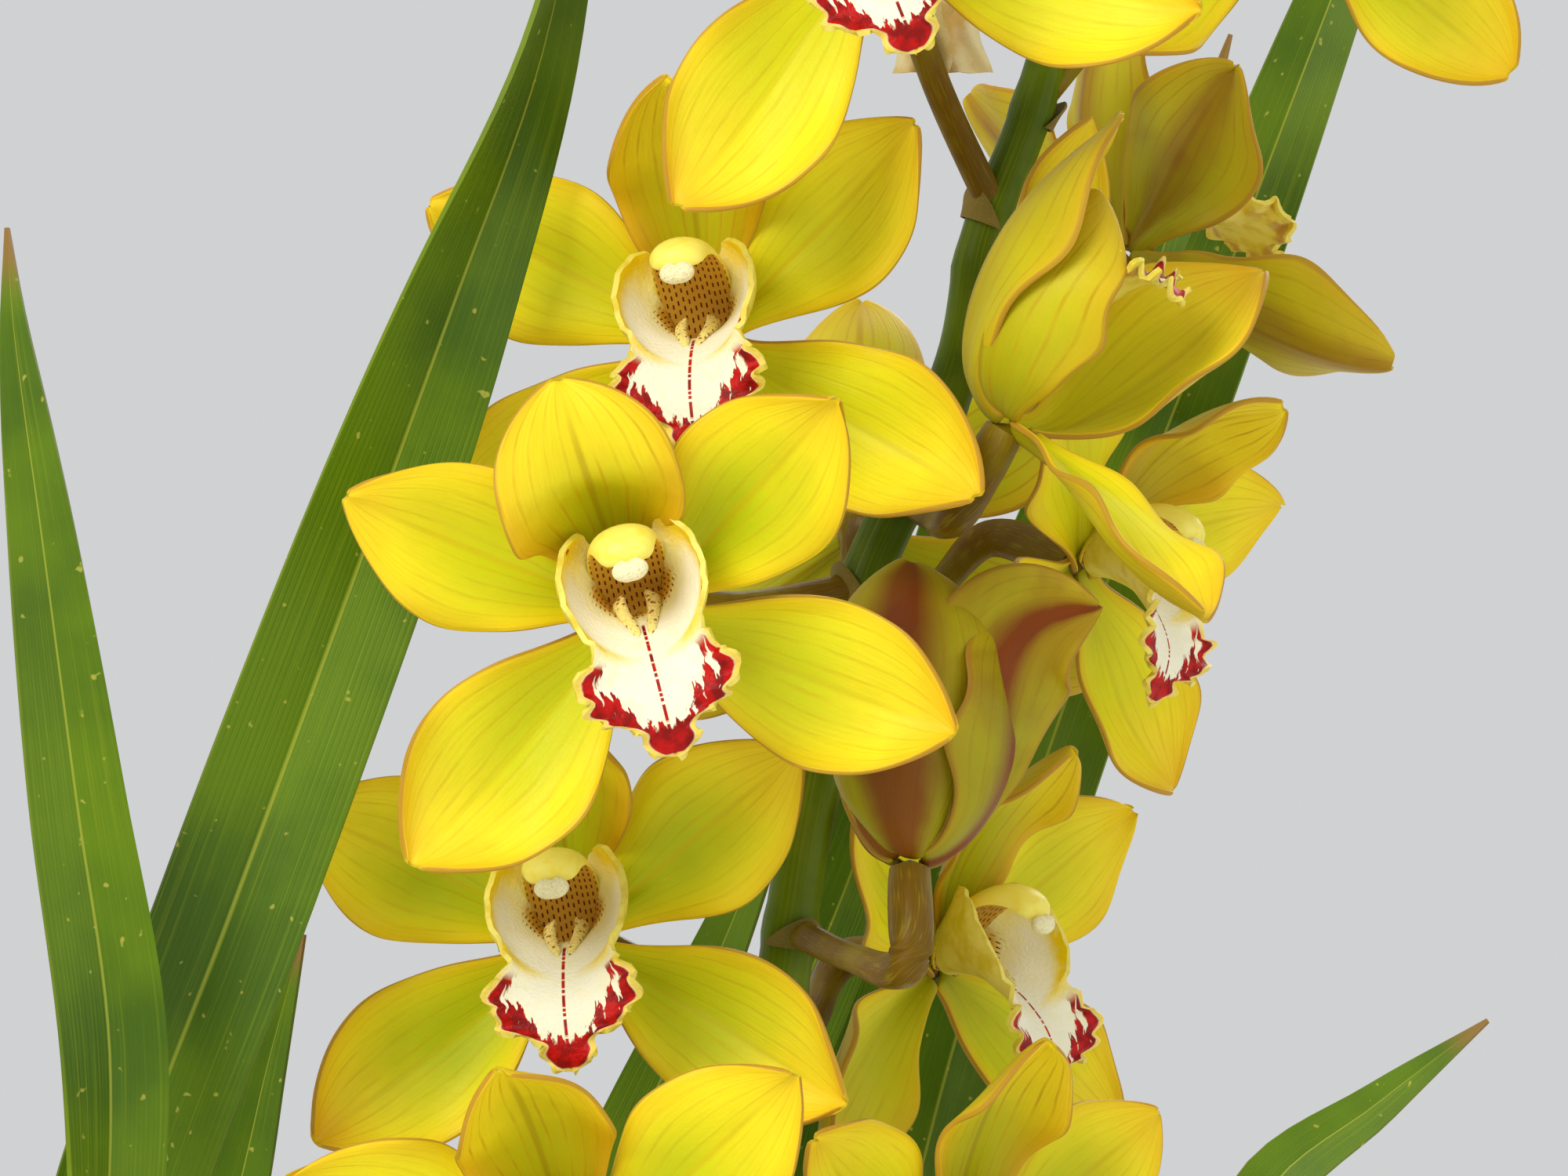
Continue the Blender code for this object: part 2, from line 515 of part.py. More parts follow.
def lip_point(v, u):
    """A place on the lip's upper side, v along it and u across it (-1 to 1), and its facing there."""
    steps = 16
    place = LIP_ROOT.copy()
    for i in range(steps):
        heading = math.radians(curve_through(LIP_HEADING, v * (i + 0.5) / steps))
        place += Vector((0, -math.cos(heading), -math.sin(heading))) * (LIP_LENGTH * v / steps)
    heading = math.radians(curve_through(LIP_HEADING, v))
    up = Vector((0, -math.sin(heading), math.cos(heading)))
    half = curve_through(LIP_HALF_WIDTH, v)
    curl = max(math.radians(curve_through(LIP_CURL, v)), 1e-3)
    radius = half / curl
    bend = u * curl
    point = place + Vector((1, 0, 0)) * (radius * math.sin(bend)) + up * (radius * (1 - math.cos(bend)))
    return point, Vector((1, 0, 0)) * -math.sin(bend) + up * math.cos(bend)


def make_lip_mesh():
    """The lip: side lobes that curl up round the column, and a mid lobe that turns down in front."""
    bm = bmesh.new()
    rings = []
    for j in range(LIP_RINGS + 1):
        v = j / LIP_RINGS
        spots = [lip_point(v, 2 * k / LIP_SPANS - 1) for k in range(LIP_SPANS + 1)]
        upper = [point for point, _ in spots]
        lower = [point - face * LIP_THICK for point, face in spots]
        rings.append(upper + lower[::-1])
    bridge_rings(bm, rings)
    return mesh_of("lip", bm)


def make_column_mesh():
    """The arched column over the lip, which ends in the anther."""
    bm = bmesh.new()
    keys = line_keys([(0.0, y, z) for y, z in COLUMN_LINE])
    tube(bm, keys, lambda t: curve_through(COLUMN_RADIUS, t), COLUMN_SIDES, COLUMN_RINGS, flatten=1.0)
    return mesh_of("column", bm)


# ---- Stem, buds and tag -------------------------------------------------------------------------
def stem_place(height):
    """The stem's middle at a height."""
    keys = line_keys(STEM_LINE)
    places = [curve_through(keys, i / 400) for i in range(401)]
    return min(places, key=lambda p: abs(p.z - height))


def pedicel_keys(start, end, facing):
    """A pedicel's line: out of the stem, then into the flower along the way that it faces."""
    reach = (end - start).length
    bend = end - facing * (0.42 * reach)
    return line_keys([start, start.lerp(bend, 0.55) + Vector((0, 0, -0.04 * reach)), bend, end])


def flower_pedicel(flower):
    matrix = flower_matrix(flower)
    facing = (matrix.to_3x3() @ Vector((0, -1, 0))).normalized()
    return pedicel_keys(stem_place(flower["node"]), matrix.translation - facing * (HUB_BACK + GAP), facing)


def make_stem():
    """The spike: one stem with the pedicels that grow out of it, joined into one body."""
    bm = bmesh.new()
    keys = line_keys(STEM_LINE)
    tube(bm, keys, lambda t: curve_through(STEM_RADIUS, t), STEM_SIDES, 22)
    stem = add_object("flower_stem", mesh_of("flower_stem", bm), "stem")
    branches = bmesh.new()
    for flower in FLOWERS.values():
        tube(branches, flower_pedicel(flower), lambda t: PEDICEL_RADIUS + (OVARY_RADIUS - PEDICEL_RADIUS) * t,
             PEDICEL_SIDES, 6)
    for bud in BUDS.values():
        facing = Vector(bud["points"]).normalized()
        end = Vector(bud["at"]) - facing * (BUD_LENGTH / 2 + GAP)
        line = pedicel_keys(stem_place(bud["node"]), end, facing)
        tube(branches, line, lambda t: 0.0018, PEDICEL_SIDES, 5)
    pedicels = add_object("pedicels", mesh_of("pedicels", branches), "stem")
    pedicels.hide_render = True
    pedicels.display_type = "WIRE"
    join = stem.modifiers.new("pedicels", "BOOLEAN")
    join.operation = "UNION"
    join.object = pedicels


def make_buds():
    shape = [(0.0, 0.30), (0.15, 0.70), (0.40, 1.0), (0.65, 0.90), (0.88, 0.48), (1.0, 0.10)]
    for name, bud in BUDS.items():
        facing = Vector(bud["points"]).normalized()
        back, front = (Vector(bud["at"]) + facing * (side * BUD_LENGTH / 2) for side in (-1, 1))
        bm = bmesh.new()
        tube(bm, line_keys([back, front]), lambda t: BUD_RADIUS * curve_through(shape, t), 8, 6)
        add_object(name, mesh_of(name, bm), "bud")


def make_tag():
    bm = bmesh.new()
    bmesh.ops.create_cube(bm, size=1.0)
    bmesh.ops.scale(bm, vec=TAG_SIZE, verts=bm.verts)
    held = curve_through(flower_pedicel(FLOWERS[TAG_FLOWER]), TAG_SHARE)
    rise = PEDICEL_RADIUS + TAG_SIZE[2] / 2 + TAG_LIFT
    matrix = Matrix.Translation(held + Vector((0, 0, rise)))
    matrix @= Matrix.Rotation(math.radians(TAG_TILT), 4, "Y")
    add_object("paper_tag", mesh_of("paper_tag", bm), "paper", matrix)


# ---- The plant ----------------------------------------------------------------------------------
def main():
    clear_scene()
    make_pot()
    make_bark()
    make_bulbs()
    for name, leaf in LEAVES.items():
        make_leaf(name, leaf)
    make_stem()
    perianths = {habit: make_perianth_mesh(habit) for habit in ("open", "closed")}
    lip, column = make_lip_mesh(), make_column_mesh()
    for name, flower in FLOWERS.items():
        matrix = flower_matrix(flower)
        add_object(name + "_perianth", perianths[flower["habit"]], "tepal", matrix)
        add_object(name + "_lip", lip, "lip", matrix)
        add_object(name + "_column", column, "column", matrix)
    make_buds()
    make_tag()


main()
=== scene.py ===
# %% [markdown]
# # A potted cymbidium orchid
#
# A cymbidium is a living plant, so nearly every piece of it is a thin curved sheet: a petal, a lip,
# a leaf. The rest are tapering rods (the stem and the pedicels), a few plump storage bulbs, and the
# one made thing, its clay pot. This lesson builds each of them and gives it its own finish.
#
# The imported model comes first. It is the fixed frame that every piece has to fit, and the boxes of its
# parts are read from it.

# %% Load the frame
import math

import bpy
import numpy as np
from mathutils import Matrix, Vector


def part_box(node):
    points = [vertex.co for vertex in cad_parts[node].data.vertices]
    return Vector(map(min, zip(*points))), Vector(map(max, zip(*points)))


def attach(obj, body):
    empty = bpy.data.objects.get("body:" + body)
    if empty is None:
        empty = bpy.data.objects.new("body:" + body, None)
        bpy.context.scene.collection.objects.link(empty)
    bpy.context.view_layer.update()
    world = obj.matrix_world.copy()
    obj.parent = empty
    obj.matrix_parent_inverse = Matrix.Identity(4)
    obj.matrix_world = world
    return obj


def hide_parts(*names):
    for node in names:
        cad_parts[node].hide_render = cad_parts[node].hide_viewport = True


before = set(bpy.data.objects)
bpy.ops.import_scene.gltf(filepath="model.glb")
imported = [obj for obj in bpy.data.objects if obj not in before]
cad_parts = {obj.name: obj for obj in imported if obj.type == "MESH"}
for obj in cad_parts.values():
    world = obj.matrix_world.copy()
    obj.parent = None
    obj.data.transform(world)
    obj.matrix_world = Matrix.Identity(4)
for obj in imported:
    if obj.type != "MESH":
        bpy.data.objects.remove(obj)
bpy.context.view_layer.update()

print("frame nodes:", len(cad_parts))

# %% [markdown]
# ## Colour and nodes
#
# Colours are picked as sRGB hex values, as in any paint program, and the shader wants linear light,
# so one function turns one into the other. A material is a small network, so another function adds
# a node with its settings and links in one line. Links are given as the output they come from,
# and since an output knows its own node tree, a pattern made from one needs no other help.

# %% Colour and node helpers
def colour(code):
    """An sRGB hex code as a linear colour."""
    parts = [int(code[i:i + 2], 16) / 255 for i in (0, 2, 4)]
    return [p / 12.92 if p <= 0.04045 else ((p + 0.055) / 1.055) ** 2.4 for p in parts] + [1]


def node(tree, kind, links=(), stops=(), out=0, **settings):
    """Adds a node and gives its output out, or the node itself if out is None. links maps an input's
    name or number to a value or to another node's output."""
    made = tree.nodes.new("ShaderNode" + kind)
    for key, value in settings.items():
        setattr(made, key, value)
    for key, value in dict(links).items():
        if isinstance(value, bpy.types.NodeSocket):
            tree.links.new(value, made.inputs[key])
        else:
            made.inputs[key].default_value = value
    for i, (place, code) in enumerate(stops):
        stop = made.color_ramp.elements[i] if i < 2 else made.color_ramp.elements.new(place)
        stop.position = place
        stop.color = colour(code)
    return made if out is None else made.outputs[out]


def new_material(name, roughness, **sockets):
    """A material whose even values are set on its shader's own sockets. It comes with its tree,
    its shader and each point's place in the plant, which is where most patterns start."""
    made = bpy.data.materials.new(name)
    made.use_nodes = True
    shader = made.node_tree.nodes["Principled BSDF"]
    shader.inputs["Roughness"].default_value = roughness
    for socket, value in sockets.items():
        shader.inputs[socket.replace("_", " ")].default_value = value
    return made, made.node_tree, shader, node(made.node_tree, "TexCoord", out="Object")


# %% [markdown]
# Most patterns are built from the same two sums: how strongly a place belongs to a band, which is
# a soft step from 0 to 1, and one colour laid over another by such a strength.

# %% Pattern sums
def soft_step(value, low, high):
    """0 below low and 1 above high, with a soft rise between; high may be below low."""
    return node(value.id_data, "MapRange", {"Value": value, "From Min": low, "From Max": high},
                interpolation_type="SMOOTHSTEP")


def both(a, b):
    return node(a.id_data, "Math", {0: a, 1: b}, operation="MULTIPLY")


def added(a, b):
    return node(a.id_data, "Math", {0: a, 1: b}, operation="ADD")


def laid_over(under, over, strength):
    """One colour over another."""
    under, over = (colour(paint) if isinstance(paint, str) else paint for paint in (under, over))
    return node(strength.id_data, "Mix", {"Factor": strength, "A": under, "B": over}, data_type="RGBA",
                out="Result")


def off_half(share):
    """How far a share from 0 to 1 is from its middle."""
    return node(share.id_data, "Math", {0: added(share, -0.5)}, operation="ABSOLUTE")


def long_noise(u, v, across, along, detail):
    """Noise that is drawn out along a sheet, with this many patches across it and along it."""
    place = node(u.id_data, "CombineXYZ", {0: both(u, across), 1: both(v, along)})
    return node(u.id_data, "TexNoise", {"Vector": place, "Scale": 1, "Detail": detail})


# %% [markdown]
# Where a pattern follows a sheet, it reads the sheet's own map or a number kept at its points. Every
# pattern ends in the same two links: a colour, and a relief that catches the light.

# %% Reading a sheet, and giving the shader its colour and relief
def on_sheet(tree):
    """A point's share of the way across its sheet, and along it, from the sheet's own map."""
    return node(tree, "SeparateXYZ", {0: node(tree, "UVMap")}, out=None).outputs[:2]


def kept(tree, name):
    """A number that a sheet keeps at each of its points."""
    return node(tree, "Attribute", attribute_name=name, out="Fac")


def wear(tree, shader, skin, relief, strength, depth):
    """Gives the shader its finished colour, and a relief whose depth is in metres."""
    tree.links.new(skin, shader.inputs["Base Color"])
    bump = node(tree, "Bump", {"Strength": strength, "Distance": depth, "Height": relief})
    tree.links.new(bump, shader.inputs["Normal"])


# %% [markdown]
# ## Curves and sheets
#
# A living sheet has no flat side to start from, but it does have a midline and a width. So each one
# starts as a flat grid primitive, and its points are moved to where the midline, the width and the
# curl of that kind of sheet put them. The grid keeps its flat map, which later carries the veins.
# Building up the same shape by extruding its edge row by row would take dozens of steps for each of
# a hundred tepals and couldn't be adjusted afterwards.

# %% Smooth values along a length
def curve(keys, t):
    """Smooth values at places t through (place, value) keys; the values are numbers or points."""
    places = np.array([key[0] for key in keys], float)
    values = np.array([key[1] for key in keys], float)
    before = np.maximum(np.arange(len(places)) - 1, 0)
    after = np.minimum(np.arange(len(places)) + 1, len(places) - 1)
    tall = (-1,) + (1,) * (values.ndim - 1)
    slopes = (values[after] - values[before]) / (places[after] - places[before]).reshape(tall)
    t = np.clip(np.asarray(t, float), places[0], places[-1])
    i = np.clip(np.searchsorted(places, t, side="right") - 1, 0, len(places) - 2)
    span = places[i + 1] - places[i]
    x = ((t - places[i]) / span).reshape(t.shape + (1,) * (values.ndim - 1))
    span = span.reshape(x.shape)
    rise = slopes[i] * span * x * (1 - x) ** 2 + slopes[i + 1] * span * x * x * (x - 1)
    return values[i] * (1 + 2 * x) * (1 - x) ** 2 + values[i + 1] * x * x * (3 - 2 * x) + rise


def line_keys(points):
    """Keys for curve, placed by the distance along the points."""
    points = np.array(points, float)
    run = np.concatenate([[0], np.cumsum(np.linalg.norm(np.diff(points, axis=0), axis=1))])
    return list(zip(run / run[-1], points))


def unit(vectors):
    return vectors / np.linalg.norm(vectors, axis=-1, keepdims=True)


def heading(keys, t, step=0.01):
    """The direction of a line at places t."""
    return unit(curve(keys, np.minimum(t + step, 1)) - curve(keys, np.maximum(t - step, 0)))


# %% Sheets and their finish
WELD_GAP = 1e-5                 # points that are closer than this, in metres, are one
CREASE = math.radians(50)       # edges that turn more than this stay sharp


def sheet(name, across, along, shape):
    """A grid whose places (u from -1 to 1 across, v from 0 to 1 along) are moved by shape(u, v)."""
    bpy.ops.object.select_all(action="DESELECT")
    bpy.ops.mesh.primitive_grid_add(x_subdivisions=across, y_subdivisions=along, size=2)
    piece = bpy.context.object
    piece.name = piece.data.name = name
    flat = np.empty(3 * len(piece.data.vertices))
    piece.data.vertices.foreach_get("co", flat)
    u, v = flat[0::3], (flat[1::3] + 1) / 2
    piece.data.vertices.foreach_set("co", shape(u, v).ravel())
    piece.data.update()
    return piece, u, v


def mark(piece, name, values):
    """Keeps one number at every point of the piece, for its material to read."""
    made = piece.data.attributes.new(name, "FLOAT", "POINT")
    values = np.broadcast_to(values, len(piece.data.vertices))
    made.data.foreach_set("value", values.astype(np.float32))


def weld(piece):
    """Joins edges that meet, and turns the faces of the closed skin outwards."""
    bpy.ops.object.mode_set(mode="EDIT")
    bpy.ops.mesh.select_all(action="SELECT")
    bpy.ops.mesh.remove_doubles(threshold=WELD_GAP)
    bpy.ops.mesh.normals_make_consistent(inside=False)
    bpy.ops.object.mode_set(mode="OBJECT")


def thicken(piece, thickness, rounds=0):
    """Gives a sheet its thickness behind its face. The back and the rim take the second material.
    Solidify keeps the second material's number only where the slot for it is there already."""
    for _ in range(2):
        piece.data.materials.append(None)
    wall = piece.modifiers.new("thickness", "SOLIDIFY")
    wall.thickness = thickness
    wall.offset = -1
    wall.material_offset = wall.material_offset_rim = 1
    if rounds:
        soft = piece.modifiers.new("rounding", "SUBSURF")
        soft.levels = soft.render_levels = rounds
    for modifier in list(piece.modifiers):
        bpy.ops.object.modifier_apply(modifier=modifier.name)


def pick(piece):
    """Selects one piece and nothing else."""
    bpy.ops.object.select_all(action="DESELECT")
    piece.select_set(True)
    bpy.context.view_layer.objects.active = piece


def finish_piece(piece, slot, replaced, *materials):
    """Smooth shading, the materials, and the piece's place in the frame."""
    slots = piece.data.materials
    if len(slots) != len(materials):
        slots.clear()
        for _ in materials:
            slots.append(None)
    for k, material in enumerate(materials):
        slots[k] = material
    pick(piece)
    bpy.ops.object.shade_smooth_by_angle(angle=CREASE)
    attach(piece, "root")
    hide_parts(replaced)
    return piece


def grow(name, grid, shape, slot, replaced, *materials, wall=0, rounds=0, marks=()):
    """A whole piece from one sheet. With a wall it is thickened, and without one it is a rolled
    sheet whose seam is welded. marks are numbers, or functions of u and v, that it keeps."""
    piece, u, v = sheet(name, *grid, shape)
    for key, values in dict(marks).items():
        mark(piece, key, values(u, v) if callable(values) else values)
    if wall:
        thicken(piece, wall, rounds)
    else:
        weld(piece)
    return finish_piece(piece, slot, replaced, *materials)


# %% [markdown]
# ## Petals and sepals: the finish
#
# Fresh cymbidium tepals are thick, waxy and butter yellow. Light goes a little way into them, so
# their shadows stay warm. Long veins run from root to tip about 3 mm apart and show as slightly
# darker lines. The root is olive green, the margin is rubbed brown, and the back is duller with a
# brown middle vein. Real petals are never even: every one has its own warm or green cast.
#
# The grid's own map gives the place across (u) and along (v), so that the veins follow the blade.
# Each tepal also carries two numbers, how bronzed it is and how green, which its material reads.

# %% Tepal finish
BLADE_VEINS = 10                # veins in the width of a tepal, 3 mm apart where it is widest


def tepal_material(name, along_stops, margin, margin_width, vein_strength, middle_vein, flushed=0.3):
    """Waxy tepal skin: satin, with soft warm shadows from the light that goes into it. The backs
    are fully flushed with bronze where their flower is bronzed, and the faces only in part."""
    made, tree, shader, solid = new_material(
        name, 0.5, Subsurface_Weight=0.18, Subsurface_Scale=0.003, Subsurface_Radius=(1, 0.85, 0.1),
        Specular_IOR_Level=0.25, IOR=1.42)
    u, v = on_sheet(tree)
    off_middle = off_half(u)
    blotch = node(tree, "TexNoise", {"Vector": solid, "Scale": 95, "Detail": 3})
    shifted = added(v, both(added(blotch, -0.5), 0.3))
    skin = node(tree, "ValToRGB", {0: shifted}, stops=along_stops)

    heart = both(soft_step(shifted, 0.95, 0.45), soft_step(off_middle, 0.46, 0.1))
    skin = laid_over(skin, "A9BE08", both(kept(tree, "green"), both(heart, 1.5)))
    skin = laid_over(skin, "E9AE16", both(soft_step(off_middle, 0.3, 0.5), 0.45))
    wander = node(tree, "TexNoise", {"Vector": solid, "Scale": 75, "Detail": 2})
    vein_place = added(both(off_middle, math.tau * BLADE_VEINS), both(wander, 3.5))
    wave = node(tree, "Math", {0: vein_place}, operation="COSINE")
    vein = soft_step(wave, 0.72, 1)
    patchy = node(tree, "TexNoise", {"Vector": solid, "Scale": 130, "Detail": 2})
    vein_shown = both(vein, soft_step(patchy, 0.25, 0.75))
    skin = laid_over(skin, "B98A08", both(vein_shown, vein_strength))
    streak = soft_step(long_noise(u, v, 60, 5, 2), 0.35, 0.8)
    skin = laid_over(skin, "D8BC08", both(streak, 0.3))
    midline = both(soft_step(off_middle, 0.03, 0.008), soft_step(v, 0.97, 0.7))
    skin = laid_over(skin, middle_vein, both(midline, 0.45))

    bronze = both(kept(tree, "bronze"), flushed)
    cloud = node(tree, "TexNoise", {"Vector": solid, "Scale": 45, "Detail": 4, "Distortion": 0.6})
    ragged = added(off_middle, both(added(cloud, -0.5), 0.35))
    skin = laid_over(skin, "948A0E", both(bronze, 0.75))
    flush = added(soft_step(ragged, 0.26, 0.04), both(soft_step(cloud, 0.45, 0.7), 0.45))
    flush = node(tree, "Math", {0: both(bronze, flush), 1: 0}, operation="ADD", use_clamp=True)
    skin = laid_over(skin, "7C3A06", flush)
    rubbed = soft_step(added(off_middle, both(blotch, 0.02)), 0.512 - margin_width, 0.51)
    skin = laid_over(skin, margin, both(rubbed, 0.6))

    grain = node(tree, "TexNoise", {"Vector": solid, "Scale": 1500, "Detail": 2})
    fibres = added(both(streak, -0.25), both(grain, 0.4))
    wear(tree, shader, skin, added(both(vein, -0.35), fibres), 0.3, 0.0004)
    shine = node(tree, "MapRange", {"Value": grain, "To Min": 0.38, "To Max": 0.6})
    tree.links.new(shine, shader.inputs["Roughness"])
    return made


PETAL_STOPS = [(0, "D2C20C"), (0.2, "E6D60E"), (0.5, "F2E216"), (0.78, "F7E11E"), (1, "F2CC1C")]
SEPAL_STOPS = [(0, "CFC60A"), (0.2, "E0D80F"), (0.5, "F0E41C"), (0.78, "F9E228"), (1, "F0C024")]
# The dorsal sepal's ramp is darker and more olive than the other tepals' from its root to about two thirds of
# its length. This is painted shade, for the shadow that the hooded dorsal sepal casts on itself as it faces
# down.
HOOD_PAINTED_SHADE_STOPS = [(0, "9C8504"), (0.25, "B39505"), (0.52, "D0AE0A"), (0.68, "EFD61E"), (1, "F6DC26")]
BACK_STOPS = [(0, "98900E"), (0.25, "B5AC0E"), (0.6, "D0C414"), (1, "D2B422")]
petal_skin = tepal_material("petal_waxy_yellow", PETAL_STOPS, "CFA03A", 0.022, 0.26, "CDB40A")
sepal_skin = tepal_material("sepal_waxy_yellow", SEPAL_STOPS, "BC7E40", 0.026, 0.26, "C6BC0C")
hood_painted_shade_skin = tepal_material("dorsal_sepal_gold_painted_shade", HOOD_PAINTED_SHADE_STOPS, "BC8A28", 0.026, 0.65, "9A7A08")
tepal_back = tepal_material("tepal_back_dull_olive", BACK_STOPS, "A06A2C", 0.05, 0.6, "9A6A10",
                            flushed=1)
print("tepal finishes:", [m.name for m in (petal_skin, sepal_skin, hood_painted_shade_skin, tepal_back)])

# %% [markdown]
# ## Flowers: where they stand
#
# Each flower is modelled once in its own space, facing -Y with its dorsal sepal up, and then turned
# about Z (yaw), tipped (pitch) and rolled to where it hangs on the spike. The numbers repeat the
# frame's own, in metres and degrees. "node" is the height at which the flower leaves the stem, and
# "closed" is how far a half-shut cup presses its lip: across, forwards and upwards.

# %% Flower places
FLOWERS = {
    "flower_01": {"at": (0.05, -0.06, 0.656), "turn": (4, -6, 14), "node": 0.66},
    "flower_02": {"at": (0.0606, -0.0325, 0.7), "turn": (-9, 4, 8), "node": 0.689},
    "flower_03": {"at": (0.038, -0.02, 0.601), "turn": (-4, 2, 7), "node": 0.59},
    "flower_04": {"at": (0.088, -0.062, 0.764), "turn": (-4, -4, 22), "node": 0.724},
    "flower_05": {"at": (0.1108, -0.037, 0.6877), "turn": (72, 58, 0), "node": 0.676,
                  "closed": (0.85, 1.3, 0.7)},
    "flower_06": {"at": (0.125, 0.015, 0.6635), "turn": (54, -14, -16), "node": 0.65, "scale": 0.92},
    "flower_07": {"at": (0.094, -0.0345, 0.6164), "turn": (172, 74, 0), "node": 0.602, "scale": 0.9,
                  "closed": (0.72, 1, 0.62)},
    "flower_08": {"at": (0.101, 0.034, 0.593), "turn": (52, -2, 0), "node": 0.575},
    "flower_09": {"at": (0.04, -0.05, 0.548), "turn": (0, -4, 14), "node": 0.534},
    "flower_10": {"at": (0.103, -0.004, 0.541), "turn": (44, 8, 0), "node": 0.528},
    "flower_11": {"at": (0.158, -0.012, 0.781), "turn": (30, -6, 0), "node": 0.742},
    "flower_12": {"at": (0.134, 0.036, 0.719), "turn": (122, 34, 0), "node": 0.715},
    "flower_13": {"at": (0.086, 0.046, 0.67), "turn": (180, 5, 0), "node": 0.64},
}


def flower_turn(flower):
    """The turning part of a flower's place, with its size."""
    yaw, pitch, roll = (math.radians(angle) for angle in flower["turn"])
    turn = Matrix.Rotation(yaw, 3, "Z") @ Matrix.Rotation(-pitch, 3, "X") @ Matrix.Rotation(-roll, 3, "Y")
    return np.array(turn) * flower.get("scale", 1)


def placed(flower, points):
    """Points of the flower's own space, in the plant's."""
    return points @ flower_turn(flower).T + np.array(flower["at"])


# %% [markdown]
# ## Petals and sepals: the shape
#
# A tepal is a claw that widens into a blade and closes to a small point. Seen from the side it
# leans, so its midline is walked in short steps, each with its own lean towards the viewer. Across,
# it is an arc: sepals are spooned, petals flatter. The midrib is a shallow groove, the margins wave
# a little, and every blade twists and sweeps to one side by its own few degrees.

# %% Tepal shape
# A lean is how far the midline tips towards the viewer, in degrees, by its place along the tepal.
CUP_LEANS = [(0, 6), (0.16, 52), (0.38, 76), (0.7, 84), (1, 98)]
SEPAL_WIDTHS = [(0, 0.2), (0.09, 0.26), (0.2, 0.46), (0.36, 0.78), (0.52, 0.98), (0.64, 1),
                (0.78, 0.88), (0.88, 0.64), (0.95, 0.36), (0.985, 0.15), (1, 0.03)]
PETAL_WIDTHS = [(0, 0.2), (0.09, 0.25), (0.2, 0.44), (0.36, 0.77), (0.5, 0.98), (0.6, 1),
                (0.74, 0.86), (0.86, 0.58), (0.94, 0.32), (0.985, 0.13), (1, 0.03)]
HOOD = {"length": 0.05, "width": 0.03, "curl": (35, 50, 60, 40), "widths": SEPAL_WIDTHS,
        "behind": 0.0008, "lean": [(0, 12), (0.35, 22), (0.62, 46), (0.8, 60), (1, 66)], "skin": hood_painted_shade_skin}
PETAL = {"length": 0.0495, "width": 0.0285, "curl": (30, 16, 20, 26), "widths": PETAL_WIDTHS,
         "behind": 0, "lean": [(0, 14), (0.5, 10), (1, 24)], "skin": petal_skin}
SEPAL = {"length": 0.053, "width": 0.0315, "curl": (50, 50, 60, 66), "widths": SEPAL_WIDTHS,
         "behind": 0.0012, "lean": [(0, 2), (0.5, 8), (1, 34)], "skin": sepal_skin}
TEPALS = {                      # angles run clockwise from the top, and "behind" is how far back one starts
    "dorsal_sepal": {**HOOD, "angle": 0}, "petal_right": {**PETAL, "angle": 56},
    "sepal_right": {**SEPAL, "angle": 125}, "sepal_left": {**SEPAL, "angle": 235},
    "petal_left": {**PETAL, "angle": 304},
}
CUP_WIDTHS = [(0, 0.22), (0.08, 0.38), (0.22, 0.74), (0.4, 0.96), (0.58, 1), (0.76, 0.94),
              (0.88, 0.74), (0.95, 0.48), (0.985, 0.24), (1, 0.04)]
ROOT_OUT = 0.0018               # the claws start this far from the flower's middle
CUP_WIDTH = 0.86                # tepals of a cupped flower look narrower, because they overlap less
CUP_CURL = (40, 66, 62, 50)     # and they bend round the cup


def blade(tepal, cupped, own, u, v):
    """The places of a tepal's face in its flower's space. own holds this tepal's own differences."""
    walk = np.linspace(0, 1, 101)
    lean = np.radians(curve(own.get("lean", CUP_LEANS if cupped else tepal["lean"]), walk))
    turn = np.radians(own.get("angle", tepal["angle"]) + own.get("sweep", 0) * walk ** 1.5)
    out = np.stack([np.sin(turn), 0 * turn, np.cos(turn)], 1)
    ahead = np.array([0, -1, 0])
    along = out * np.cos(lean)[:, None] + ahead * np.sin(lean)[:, None]
    front = ahead * np.cos(lean)[:, None] - out * np.sin(lean)[:, None]
    side = np.stack([np.cos(turn), 0 * turn, -np.sin(turn)], 1)
    length = own.get("length", tepal["length"])
    middle = out[:1] * ROOT_OUT - ahead * tepal["behind"] + np.concatenate(
        [[[0, 0, 0]], np.cumsum((along[1:] + along[:-1]) / 2, 0)]) * (length / (len(walk) - 1))
    twist = np.radians(own.get("twist", 0)) * walk ** 1.3
    side, front = (side * np.cos(twist)[:, None] + front * np.sin(twist)[:, None],
                   front * np.cos(twist)[:, None] - side * np.sin(twist)[:, None])
    place, side, front = (np.stack([np.interp(v, walk, line[:, k]) for k in range(3)], 1)
                          for line in (middle, side, front))

    full = own.get("width", tepal["width"] * (CUP_WIDTH if cupped else 1))
    width = full / 2 * curve(own.get("widths", tepal["widths"]), v)
    curls = own.get("curl", CUP_CURL if cupped else tepal["curl"])
    curl = np.radians(curve([(0, curls[0]), (0.4, curls[1]), (0.75, curls[2]), (1, curls[3])], v))
    radius = width / curl
    sideways = radius * np.sin(u * curl)
    rise = radius * (1 - np.cos(u * curl))
    rise -= 0.0011 * np.exp(-(u / 0.11) ** 2) * np.clip(v * 6, 0, 1) * (1 - v ** 3)
    phase = own.get("phase", 0)
    ripple = 0.0013 * np.abs(u) ** 2.5 * np.sin(math.tau * (2.3 * v + phase + 0.23 * np.sign(u)))
    rise += ripple * np.clip(v * 3, 0, 1) + 0.0006 * np.sin(math.tau * (1.3 * v + 0.6 * u + phase))
    rise -= 0.0012 * u ** 6 * np.sin(math.pi * v)
    return place + side * sideways[:, None] + front * rise[:, None]


# %% [markdown]
# The best-lit flowers differ from the plain pattern where their tepals are creased, swept or folded,
# so each lists its own differences. Anything that isn't listed gets small seeded ones, because no
# two tepals on a plant are alike.

